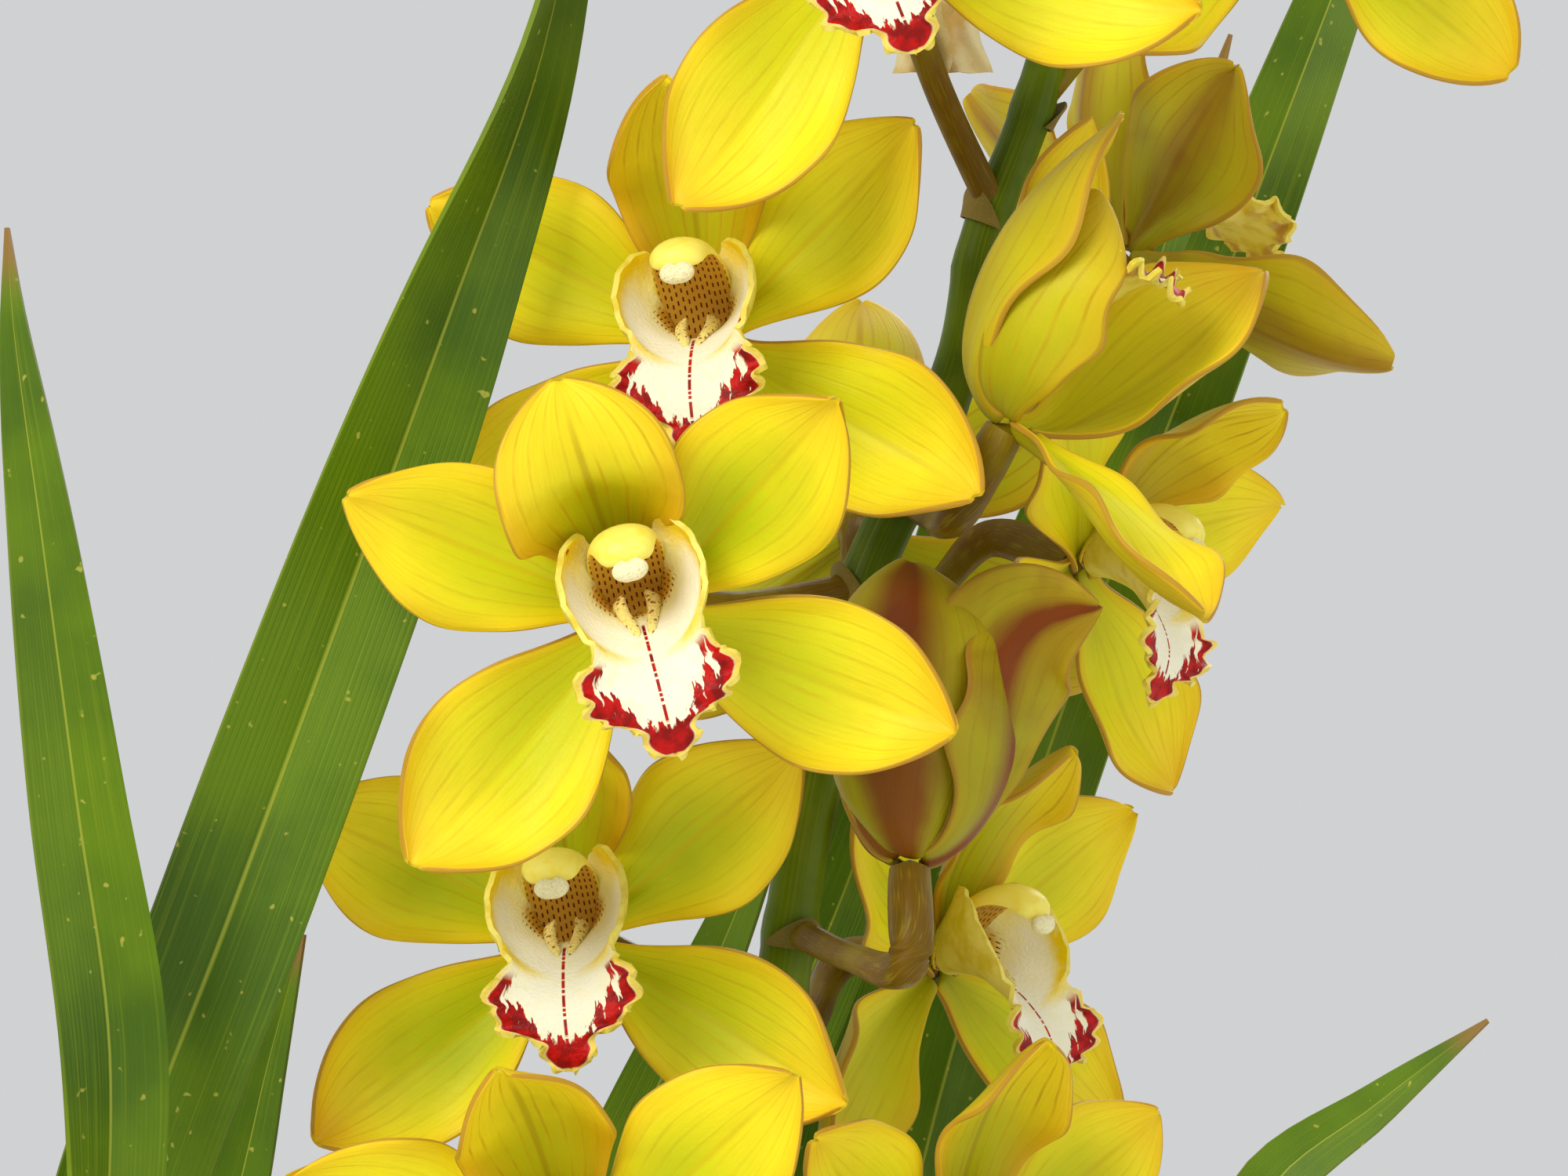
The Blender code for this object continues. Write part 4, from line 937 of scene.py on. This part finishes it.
# %% Buds
bud_skin = stem_material("bud_green_yellow", [(0.25, "8C9414"), (0.5, "B5AC1E"), (0.8, "CDBB2C")], "9A8A18",
                         0.42)
BUD_LENGTH = 0.03
BUD_RADIUS = 0.0075
BUD_OUTLINE = [(0, 0.3), (0.1, 0.62), (0.25, 0.88), (0.42, 1), (0.65, 0.9), (0.85, 0.56), (0.96, 0.24),
               (1, 0.06)]
for bud_name, bud in BUDS.items():
    facing = unit(np.array(bud["points"]))
    back, front = (np.array(bud["at"]) + facing * (end * BUD_LENGTH / 2) for end in (-1, 1))
    belly = np.cross(facing, unit(np.cross(facing, np.array([0, 0, 1])))) * 0.0016
    keys = line_keys([back, (back + front) / 2 + belly, front])
    radius = lambda v: BUD_RADIUS * curve(BUD_OUTLINE, v)
    grow(bud_name + "_sepals", (36, 40), lambda u, v: rod(keys, radius, u, v, 3, 0.05), "bud", bud_name,
         bud_skin)
    start, _ = stem_place(bud["node"])
    keys = pedicel_line(start, back + facing * 0.001, facing)
    radius = lambda v: 0.0018 + 0.0004 * v
    grow(bud_name + "_pedicel", (14, 24), lambda u, v: rod(keys, radius, u, v), "flower_stem", "flower_stem",
         pedicel_skin)
print("buds:", len(BUDS))

# %% [markdown]
# ## Leaves
#
# Strap leaves are leathery, folded along a sunken midrib that shows pale, and ribbed with close
# parallel veins. Their fold opens as they rise. The older ones carry yellow flecks and dry tips.

# %% Leaf finish
LEAF_VEINS = 26                 # veins in a leaf's width, a little under 1 mm apart


def leaf_material(name, light, dark, gloss):
    """Leathery leaf: a waxy sheen broken into long lines by the veins."""
    made, tree, shader, solid = new_material(name, gloss, Specular_IOR_Level=0.25, IOR=1.45,
                                             Subsurface_Weight=0.05, Subsurface_Scale=0.002)
    u, v = on_sheet(tree)
    off_middle = off_half(u)
    cloud = node(tree, "TexNoise", {"Vector": solid, "Scale": 28, "Detail": 4})
    skin = laid_over(dark, light, soft_step(cloud, 0.32, 0.66))
    vein_place = both(off_middle, math.tau * LEAF_VEINS)
    vein = soft_step(node(tree, "Math", {0: vein_place}, operation="COSINE"), 0.2, 0.95)
    fibre = long_noise(u, v, 55, 9, 3)
    skin = node(tree, "HueSaturation", {"Color": skin, "Value": 0.88, "Fac": both(vein, 0.25)})
    skin = laid_over(skin, "7E9210", both(soft_step(fibre, 0.52, 0.72), 0.35))
    skin = laid_over(skin, "A9AE3A", both(soft_step(off_middle, 0.03, 0.01), 0.55))
    flecks = node(tree, "TexNoise", {"Vector": solid, "Scale": 520, "Detail": 1})
    skin = laid_over(skin, "B7B24A", both(soft_step(flecks, 0.72, 0.78), 0.6))
    dry = soft_step(added(v, both(added(fibre, -0.5), 0.04)), 0.975, 0.995)
    skin = laid_over(skin, "8A6A34", dry)
    wear(tree, shader, skin, added(both(vein, -1), both(fibre, 0.6)), 0.22, 0.0004)
    return made


leaf_face = leaf_material("leaf_upper_leathery_green", "5C7A01", "3F5E02", 0.42)
leaf_back = leaf_material("leaf_under_matt_green", "6C8208", "546C0A", 0.55)

# %% Leaf shape
BULB_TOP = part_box("pseudobulb_left")[1][2]
BULB_CENTRES = {"left": (-0.046, -0.018), "middle": (-0.007, 0.024), "right": (0.049, 0.01)}
LEAF_FOOT = 0.014               # a leaf's first stretch, straight up from its bulb
LEAF_SINK = 0.004               # its foot starts inside the bulb's crown
LEAF_THICK = 0.0009
MIDRIB = 0.012                  # how broadly the midrib rounds the bottom of the V
LEAVES = {
    "leaf_01": {"bulb": "left", "foot": (0.0066, -0.0022), "width": 0.0215,
                "line": [(-0.038, -0.056, 0.4), (-0.0342, -0.072, 0.54), (-0.033, -0.073, 0.587),
                         (-0.0383, -0.073, 0.627), (-0.0437, -0.072, 0.667), (-0.0483, -0.071, 0.7),
                         (-0.0497, -0.07, 0.717)],
                "faces": [(0, (1, 0, 0)), (0.6, (0.9, -0.42, 0)), (0.8, (0.34, -0.94, 0)),
                          (1, (0, -1, 0))]},
    "leaf_02": {"bulb": "left", "foot": (0.001, -0.002), "width": 0.0265,
                "line": [(-0.06, -0.038, 0.38), (-0.049, -0.044, 0.5), (-0.0337, -0.05, 0.56),
                         (-0.0163, -0.05, 0.607), (0.0006, -0.049, 0.653), (0.0203, -0.049, 0.707),
                         (0.0333, -0.049, 0.743), (0.043, -0.048, 0.785), (0.058, -0.046, 0.835)],
                "faces": [(0, (1, 0, 0)), (0.5, (0.2, -0.98, 0)), (0.7, (0.2, -0.98, 0)),
                          (0.85, (0.8, -0.5, 0)), (1, (0.9, 0.3, 0))]},
    "leaf_03": {"bulb": "left", "foot": (-0.0038, -0.002), "width": 0.02,
                "line": [(-0.074, -0.048, 0.36), (-0.072, -0.056, 0.48), (-0.061, -0.056, 0.56),
                         (-0.0573, -0.055, 0.588)],
                "faces": [(0, (1, 0, 0)), (0.5, (0.4, -0.9, 0)), (1, (0.17, -0.98, 0))]},
    "leaf_04": {"bulb": "right", "foot": (0.004, -0.005), "width": 0.021,
                "line": [(0.085, -0.025, 0.36), (0.118, -0.035, 0.48), (0.1523, -0.035, 0.56),
                         (0.171, -0.034, 0.5755), (0.189, -0.033, 0.589)],
                "faces": [(0, (-1, 0, 0)), (0.5, (-0.5, -0.9, 0.2)), (1, (-0.2, -1, 0.2))]},
    "leaf_05": {"bulb": "right", "foot": (0.001, 0.002), "width": 0.024,
                "line": [(0.07, 0.05, 0.42), (0.1, 0.076, 0.56), (0.13, 0.084, 0.653),
                         (0.15, 0.084, 0.705), (0.1663, 0.084, 0.748), (0.186, 0.083, 0.8),
                         (0.197, 0.082, 0.832)],
                "faces": [(0, (-1, 0, 0)), (0.5, (-0.3, -1, 0)), (1, (-0.1, -1, 0))]},
    "leaf_06": {"bulb": "right", "foot": (-0.0045, 0.003), "width": 0.022,
                "line": [(0.052, 0.078, 0.42), (0.084, 0.108, 0.56), (0.118, 0.116, 0.653),
                         (0.142, 0.116, 0.715), (0.158, 0.115, 0.765)],
                "faces": [(0, (-1, 0, 0)), (0.5, (-0.3, -1, 0)), (1, (0, -1, 0))]},
    "leaf_07": {"bulb": "middle", "foot": (0.0045, 0.001), "width": 0.023,
                "line": [(0.022, 0.078, 0.4), (0.058, 0.096, 0.54), (0.087, 0.098, 0.61),
                         (0.1, 0.097, 0.66), (0.108, 0.096, 0.7)],
                "faces": [(0, (0, -1, 0)), (1, (0.1, -1, 0))]},
    "leaf_08": {"bulb": "middle", "foot": (-0.004, 0), "width": 0.02,
                "line": [(0, 0.062, 0.4), (0.034, 0.062, 0.53), (0.064, 0.06, 0.6),
                         (0.078, 0.058, 0.636)],
                "faces": [(0, (0, -1, 0)), (1, (-0.5, -1, 0))]},
    "leaf_09": {"bulb": "left", "foot": (0.0106, 0.0018), "width": 0.019,
                "line": [(-0.032, 0.022, 0.36), (-0.032, 0.024, 0.5), (-0.018, 0.02, 0.57),
                         (-0.01, 0.018, 0.6)],
                "faces": [(0, (1, 0, 0)), (0.5, (-0.1, -1, 0)), (1, (-0.2, -1, 0))]},
    "leaf_10": {"bulb": "left", "foot": (-0.0098, 0.0014), "width": 0.024,
                "line": [(-0.12, 0.01, 0.37), (-0.19, 0.03, 0.455), (-0.262, 0.048, 0.475),
                         (-0.322, 0.062, 0.44)],
                "faces": [(0, (1, 0, 0)), (0.4, (0.7, -0.4, 0.6)), (0.7, (0, -0.5, 1)),
                          (1, (-0.5, -0.4, 0.8))]},
    "leaf_11": {"bulb": "right", "foot": (0.0085, 0.001), "width": 0.024,
                "line": [(0.13, 0.05, 0.37), (0.202, 0.096, 0.452), (0.268, 0.132, 0.468),
                         (0.32, 0.158, 0.432)],
                "faces": [(0, (-1, 0, 0)), (0.4, (-0.7, -0.4, 0.6)), (0.7, (0, -0.5, 1)),
                          (1, (0.5, 0, 0.8))]},
}
LEAF_WIDTHS = [(0, 0.46), (0.25, 0.72), (0.5, 0.95), (0.66, 1), (0.82, 0.78), (0.93, 0.42), (1, 0.03)]
LEAF_FOLD = [(0, 58), (0.25, 30), (0.6, 16), (1, 12)]


def strap(leaf, u, v):
    """A leaf's upper side: a V whose bottom is rounded by the midrib, with slack, wavy margins."""
    x, y = (centre + shift for centre, shift in zip(BULB_CENTRES[leaf["bulb"]], leaf["foot"]))
    keys = line_keys([(x, y, BULB_TOP - LEAF_SINK), (x, y, BULB_TOP + LEAF_FOOT), *leaf["line"]])
    along = heading(keys, v)
    towards = curve(leaf["faces"], v)
    face = unit(towards - along * np.sum(towards * along, 1)[:, None])
    side = np.cross(face, along)
    half = leaf["width"] / 2 * curve(LEAF_WIDTHS, v)
    fold = np.radians(curve(LEAF_FOLD, v))
    wing = np.sqrt(u * u + MIDRIB) - math.sqrt(MIDRIB)
    out = wing * np.sign(u)
    drop = wing - 0.05 * np.exp(-(u / 0.07) ** 2)
    slack = 0.04 * u * u * np.sin(math.tau * (5 * v + 0.3 * np.sign(u) + 10 * leaf["width"]))
    return (curve(keys, v) - side * (half * np.cos(fold) * (0.35 * u + 0.65 * out))[:, None]
            + face * (half * (np.sin(fold) * drop + slack))[:, None])


for leaf_name, leaf in LEAVES.items():
    grow(leaf_name + "_strap", (24, 110), lambda u, v: strap(leaf, u, v), "leaf", leaf_name,
         leaf_face, leaf_back, wall=LEAF_THICK)
print("leaves:", len(LEAVES))

# %% [markdown]
# ## Pseudobulbs and their sheaths
#
# The leaves grow from pseudobulbs, green eggs that store water. Each is ribbed lengthwise and half
# wrapped in the dry fibrous feet of old leaves, which split into strips as they age.

# %% Bulb finish and shape
bulb_skin = stem_material("pseudobulb_matt_green", [(0.25, "4F6A1C"), (0.5, "6E8428"), (0.8, "8A9440")],
                          "5F7420", 0.5)
sheath_skin = stem_material("old_sheath_fibrous_tan", [(0.25, "7A6038"), (0.5, "A88C58"), (0.8, "8C8446")],
                            "C4AE7E", 0.8)
BARK_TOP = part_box("pseudobulb_left")[0][2]
BULB_RADIUS = 0.024
BULB_FLATTEN = 0.86
SHEATH_THICK = 0.0005
BULB_OUTLINE = [(0, 0.62), (0.14, 0.88), (0.32, 1), (0.55, 0.95), (0.78, 0.74), (0.93, 0.56), (1, 0.4)]


def round_bulb(centre, turn, wide, share):
    """Places round a bulb's upright middle, from the bark (0) to the bulb's top (1)."""
    x, y = centre[0] + wide * np.cos(turn), centre[1] + BULB_FLATTEN * wide * np.sin(turn)
    return np.stack([x, y, BARK_TOP + (BULB_TOP - BARK_TOP) * share], 1)


def bulb_shape(centre, u, v):
    """An egg with ribs that fade towards its top, drawn shut at both ends."""
    turn = math.pi * u
    shut = np.where((v < 1e-6) | (v > 1 - 1e-6), 0, 1)
    ribs = 1 + 0.035 * np.cos(11 * turn) * (1 - v)
    return round_bulb(centre, turn, BULB_RADIUS * 0.98 * curve(BULB_OUTLINE, v) * shut * ribs, v)


def sheath_shape(centre, start, wrap, top, ragged, u, v):
    """An old leaf's foot, wrapped part of the way round the bulb and torn at its top."""
    turn = start + u * wrap * (1 - 0.45 * v)
    share = v * (top + ragged * np.sin(9 * u + start) * 0.5 + ragged * np.sin(23 * u + 2 * start) * 0.3)
    wide = BULB_RADIUS * (curve(BULB_OUTLINE, np.clip(share, 0, 1)) + 0.035 + 0.05 * v)
    wide = np.where(share > 1, BULB_RADIUS * (0.46 + 0.16 * (share - 1)), wide)
    return round_bulb(centre, turn, wide, share)


# Each sheath's direction and half its wrap, in radians, its height and how ragged its top is.
SHEATHS = [(0.3, 1.5, 0.86, 0.2), (2.5, 1.6, 0.66, 0.26), (4.6, 1.3, 0.94, 0.16)]
for bulb_name, centre in BULB_CENTRES.items():
    node_name = "pseudobulb_" + bulb_name
    grow(node_name + "_flesh", (66, 32), lambda u, v: bulb_shape(centre, u, v), "pseudobulb", node_name,
         bulb_skin)
    for k, (start, wrap, top, ragged) in enumerate(SHEATHS):
        start += 20 * centre[0]                                 # so that no two bulbs are wrapped alike
        shape = lambda u, v: sheath_shape(centre, start, wrap, top, ragged, u, v)
        grow(f"{node_name}_sheath_{k + 1}", (40, 16), shape, "pseudobulb", node_name, sheath_skin,
             wall=-SHEATH_THICK)
print("bulbs:", len(BULB_CENTRES), "sheaths:", len(BULB_CENTRES) * len(SHEATHS))

# %% [markdown]
# ## Pot
#
# A thrown clay pot: a tapered wall, a broad rim band and drain holes. It is drawn up from a circle,
# each ring extruded and resized, out to the rim and back down the inside. The edges that the
# potter's sponge rounds get a bevel.

# %% Pot
POT_FOOT_RADIUS = 0.074
# The radius and height of each next ring: out and up the wall, over the rim band and down inside.
POT_STEPS = [(0.086, 0.095), (0.0942, 0.16), (0.103, 0.1602), (0.1043, 0.187), (0.103, 0.19),
             (0.0938, 0.19), (0.092, 0.1865), (0.0802, 0.09), (0.0691, 0.009)]
bpy.ops.object.select_all(action="DESELECT")
bpy.ops.mesh.primitive_circle_add(vertices=96, radius=POT_FOOT_RADIUS, fill_type="NGON")
pot = bpy.context.object
pot.name = pot.data.name = "pot_wall"
bpy.ops.object.mode_set(mode="EDIT")
bpy.ops.mesh.select_all(action="SELECT")
radius, height = POT_FOOT_RADIUS, 0
for next_radius, next_height in POT_STEPS:
    rise = {"value": (0, 0, next_height - height)}
    bpy.ops.mesh.extrude_region_move(TRANSFORM_OT_translate=rise)
    stretch = next_radius / radius
    bpy.ops.transform.resize(value=(stretch, stretch, 1), center_override=(0, 0, next_height))
    radius, height = next_radius, next_height
bpy.ops.mesh.select_all(action="SELECT")
bpy.ops.mesh.normals_make_consistent(inside=False)
bpy.ops.object.mode_set(mode="OBJECT")

# %% Drain holes and rounded edges
DRAIN_HOLES = 5
DRAIN_RADIUS = 0.006
DRAIN_RING = 0.042              # the holes' distance from the middle of the foot
for i in range(DRAIN_HOLES):
    turn = math.tau * (i + 0.5) / DRAIN_HOLES
    at = (DRAIN_RING * math.cos(turn), DRAIN_RING * math.sin(turn), 0.004)
    bpy.ops.mesh.primitive_cylinder_add(vertices=20, radius=DRAIN_RADIUS, depth=0.03, location=at)
    drill = bpy.context.object
    hole = pot.modifiers.new("drain", "BOOLEAN")
    hole.object = drill
    pick(pot)
    bpy.ops.object.modifier_apply(modifier=hole.name)
    bpy.data.objects.remove(drill)
soft = pot.modifiers.new("sponged edges", "BEVEL")
soft.width = 0.0009
soft.segments = 3
soft.limit_method = "ANGLE"
soft.angle_limit = math.radians(30)
bpy.ops.object.modifier_apply(modifier=soft.name)
print("pot:", len(pot.data.polygons), "faces")

# %% [markdown]
# Unglazed terracotta is matt and a little chalky. It shows the fine rings of the wheel, darker damp
# patches low on the wall, and a pale bloom of lime where water dries out of it.

# %% Terracotta
clay, tree, shader, solid = new_material("terracotta_unglazed", 0.86, Specular_IOR_Level=0.3)
up = node(tree, "SeparateXYZ", {0: solid}, out=2)
patch = node(tree, "TexNoise", {"Vector": solid, "Scale": 16, "Detail": 6, "Roughness": 0.6})
skin = laid_over("A8603E", "C27C58", soft_step(patch, 0.32, 0.66))
grit = node(tree, "TexNoise", {"Vector": solid, "Scale": 900, "Detail": 3})
skin = laid_over(skin, "8A4A2E", both(soft_step(grit, 0.56, 0.72), 0.5))
lime = node(tree, "TexNoise", {"Vector": solid, "Scale": 34, "Detail": 7, "Roughness": 0.7})
skin = laid_over(skin, "DCC6B0", both(soft_step(lime, 0.55, 0.75), 0.6))
damp = soft_step(added(up, both(patch, 0.05)), 0.06, 0.02)
skin = laid_over(skin, "8C5034", both(damp, 0.55))
rings = node(tree, "Math", {0: both(up, 1500)}, operation="SINE")       # about 4 mm apart
wear(tree, shader, skin, added(both(rings, 0.25), both(grit, 0.8)), 0.5, 0.0006)
finish_piece(pot, "clay_pot", "pot", clay)

# %% [markdown]
# ## Bark
#
# Orchids grow in chips of fir bark. Below the surface nothing shows, so the pot is filled with one
# domed body, and a layer of loose chips lies on it. A chip is a block, cut once, with its points
# pushed about. Six of them are copied in every direction.

# %% Bark finish and filling
bark, tree, shader, solid = new_material("fir_bark_rough", 0.92, Specular_IOR_Level=0.25)
cork = node(tree, "TexNoise", {"Vector": solid, "Scale": 130, "Detail": 6, "Roughness": 0.65})
BARK_STOPS = [(0.25, "2A1A10"), (0.45, "4A3020"), (0.62, "6E4C32"), (0.8, "94714E")]
skin = node(tree, "ValToRGB", {0: cork}, stops=BARK_STOPS)
ridges = node(tree, "TexNoise", {"Vector": solid, "Scale": 600, "Detail": 4})
wear(tree, shader, skin, added(cork, ridges), 0.9, 0.0012)


def bark_surface(x, y):
    """The height of the bark's dome."""
    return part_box("bark_medium")[1][2] - 0.004 * (x * x + y * y) / 0.098 ** 2


def bark_fill(u, v):
    """A plug that fills the pot, flat below and lumpy on top."""
    turn = math.pi * u
    radius = np.interp(v, [0, 0.06, 0.5, 1], [0, 0.068, 0.0895, 0])
    height = np.interp(v, [0, 0.06, 0.5], [0.0095, 0.0095, 0.1665])
    x, y = radius * np.cos(turn), radius * np.sin(turn)
    lumps = 0.0012 * np.sin(x * 520 + 2 * np.sin(y * 300)) * np.sin(y * 470 + 1.5 * np.sin(x * 340))
    top = bark_surface(x, y) - 0.0035 + lumps * (radius > 0)
    return np.stack([x, y, np.where(v > 0.5, top, height)], 1)


grow("bark_fill", (96, 50), bark_fill, "bark", "bark_medium", bark)

# %% Bark chips
CHIP_SIZES = [(0.016, 0.01, 0.0042), (0.013, 0.009, 0.005), (0.019, 0.009, 0.004), (0.011, 0.008, 0.005),
              (0.014, 0.012, 0.0042), (0.01, 0.007, 0.0055)]
CHIP_COUNT = 260
CHIP_REACH = 0.086              # chips lie no farther out than this
CHIP_CLEAR = 0.0225             # and keep this far from a bulb's middle
CHIP_TILT = 0.35                # how far a chip leans either way, in radians
chance = np.random.default_rng(7)
chip_shapes = []
for size in CHIP_SIZES:
    bpy.ops.object.select_all(action="DESELECT")
    bpy.ops.mesh.primitive_cube_add(size=1, scale=size)
    chip = bpy.context.object
    bpy.ops.object.transform_apply(location=False, rotation=False, scale=True)
    bpy.ops.object.mode_set(mode="EDIT")
    bpy.ops.mesh.select_all(action="SELECT")
    bpy.ops.mesh.subdivide(number_cuts=1, smoothness=0.4)
    bpy.ops.object.mode_set(mode="OBJECT")
    for point in chip.data.vertices:
        point.co += Vector(chance.uniform(-0.16, 0.16, 3) * np.array(size))
    chip_shapes.append(chip)

chips = []
while len(chips) < CHIP_COUNT:
    reach, turn = CHIP_REACH * math.sqrt(chance.random()), math.tau * chance.random()
    x, y = reach * math.cos(turn), reach * math.sin(turn)
    lift = 0.0015 + 0.003 * chance.random()
    tilt = Matrix.Rotation(chance.uniform(-CHIP_TILT, CHIP_TILT), 4, "X") @ Matrix.Rotation(
        chance.uniform(-CHIP_TILT, CHIP_TILT), 4, "Y") @ Matrix.Rotation(math.tau * chance.random(), 4, "Z")
    start = chip_shapes[len(chips) % len(chip_shapes)]
    if min(math.dist((x, y), centre) for centre in BULB_CENTRES.values()) < CHIP_CLEAR:
        continue
    copy = start.copy()
    copy.data = start.data.copy()
    copy.data.transform(Matrix.Translation((x, y, bark_surface(x, y) - 0.004 + lift)) @ tilt)
    bpy.context.scene.collection.objects.link(copy)
    chips.append(copy)
for chip in chip_shapes:
    bpy.data.objects.remove(chip)
bpy.ops.object.select_all(action="DESELECT")
for chip in chips:
    chip.select_set(True)
bpy.context.view_layer.objects.active = chips[0]
bpy.ops.object.join()
chips[0].name = chips[0].data.name = "bark_chips"
finish_piece(chips[0], "bark", "bark_medium", bark)
print("bark chips:", CHIP_COUNT)

# %% [markdown]
# ## Paper tag
#
# A scrap of cream paper is folded over one pedicel, and its two torn flaps stand up side by side.
# It is blank. Paper is matt, slightly fuzzy, and browner where it has got damp.

# %% Paper tag
paper, tree, shader, solid = new_material("paper_torn_cream", 0.9, Subsurface_Weight=0.1,
                                          Subsurface_Scale=0.002, Specular_IOR_Level=0.2)
stain = node(tree, "TexNoise", {"Vector": solid, "Scale": 170, "Detail": 5})
pulp = node(tree, "TexNoise", {"Vector": solid, "Scale": 2200, "Detail": 3})
skin = laid_over("F1E4BC", "DDBE74", soft_step(stain, 0.38, 0.66))
wear(tree, shader, skin, pulp, 0.5, 0.0003)
PAPER_THICK = 0.0003
TAG_LOW, TAG_HIGH = (np.array(corner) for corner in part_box("paper_tag"))


def flap_shape(start, finish, lean, ragged, u, v):
    """An upright scrap between two places across the tag, with a torn upper edge."""
    across = start + (finish - start) * (u + 1) / 2
    tear = 1 + 0.1 * np.sin(7 * u + ragged) + 0.06 * np.sin(19 * u + 2 * ragged)
    low, high = TAG_LOW - np.array([0, 0, 0.0045]), TAG_HIGH
    z = low[2] + (high[2] - low[2]) * v * np.where(v > 0.6, tear, 1) * 0.92
    x = low[0] + (high[0] - low[0]) * across + 0.0012 * np.sin(6 * v + ragged)
    y = (low[1] + high[1]) / 2 + lean * v * v * 0.004 + 0.0008 * np.sin(5 * u + 4 * v)
    return np.stack([x, y, z], 1)


for k, (start, finish, lean, ragged) in enumerate([(0.02, 0.58, -1, 0.4), (0.5, 0.98, 0.9, 2.1)]):
    shape = lambda u, v: flap_shape(start, finish, lean, ragged, u, v)
    grow(f"paper_tag_flap_{k + 1}", (24, 18), shape, "paper_tag", "paper_tag", paper, wall=PAPER_THICK)
print("paper tag flaps: 2")

# %% [markdown]
# ## Studio
#
# A pale floor that fades into the pale air around it, one large soft light from the upper left, a weaker one
# from the right and one from behind, and a camera level with the flowers, a metre away from them.

# %% Floor, light and camera
bpy.ops.object.select_all(action="DESELECT")
bpy.ops.mesh.primitive_plane_add(size=6, location=(0, 0, 0))
floor = bpy.context.object
floor.name = "studio_floor"
floor_paint, tree, shader, solid = new_material("floor_pale_matt", 0.9, Base_Color=colour("E4E2DE"))
from_middle = node(tree, "VectorMath", {0: solid}, operation="LENGTH", out="Value")
tree.links.new(soft_step(from_middle, 2.9, 1.2), shader.inputs["Alpha"])     # the floor's rim fades
floor.data.materials.append(floor_paint)

world = bpy.data.worlds.new("studio_air")
world.use_nodes = True
air = world.node_tree.nodes["Background"]
air.inputs["Color"].default_value = colour("F1F2F3")
air.inputs["Strength"].default_value = 0.72
bpy.context.scene.world = world


def soft_light(name, place, aim, size, power, tint):
    """A square soft box that looks at a place."""
    bpy.ops.object.light_add(type="AREA", location=place)
    lamp = bpy.context.object
    lamp.name = name
    lamp.data.size = size
    lamp.data.energy = power
    lamp.data.color = colour(tint)[:3]
    lamp.rotation_euler = (Vector(aim) - Vector(place)).to_track_quat("-Z", "Y").to_euler()


soft_light("key_light", (-0.9, -1.5, 1.7), (0.07, 0, 0.66), 1, 32, "FFFAF0")
soft_light("fill_light", (1.5, -1.1, 0.9), (0.07, 0, 0.6), 1.4, 7, "F7F9FF")
soft_light("back_light", (0.6, 1.5, 1.5), (0.07, 0, 0.6), 1, 14, "FFFFFF")
bpy.context.scene.view_settings.view_transform = "Standard"

bpy.ops.object.camera_add(location=(0.0733, -1, 0.66), rotation=(math.pi / 2, 0, 0))
camera = bpy.context.object
camera.data.lens = 135
camera.data.sensor_width = 36
bpy.context.scene.camera = camera
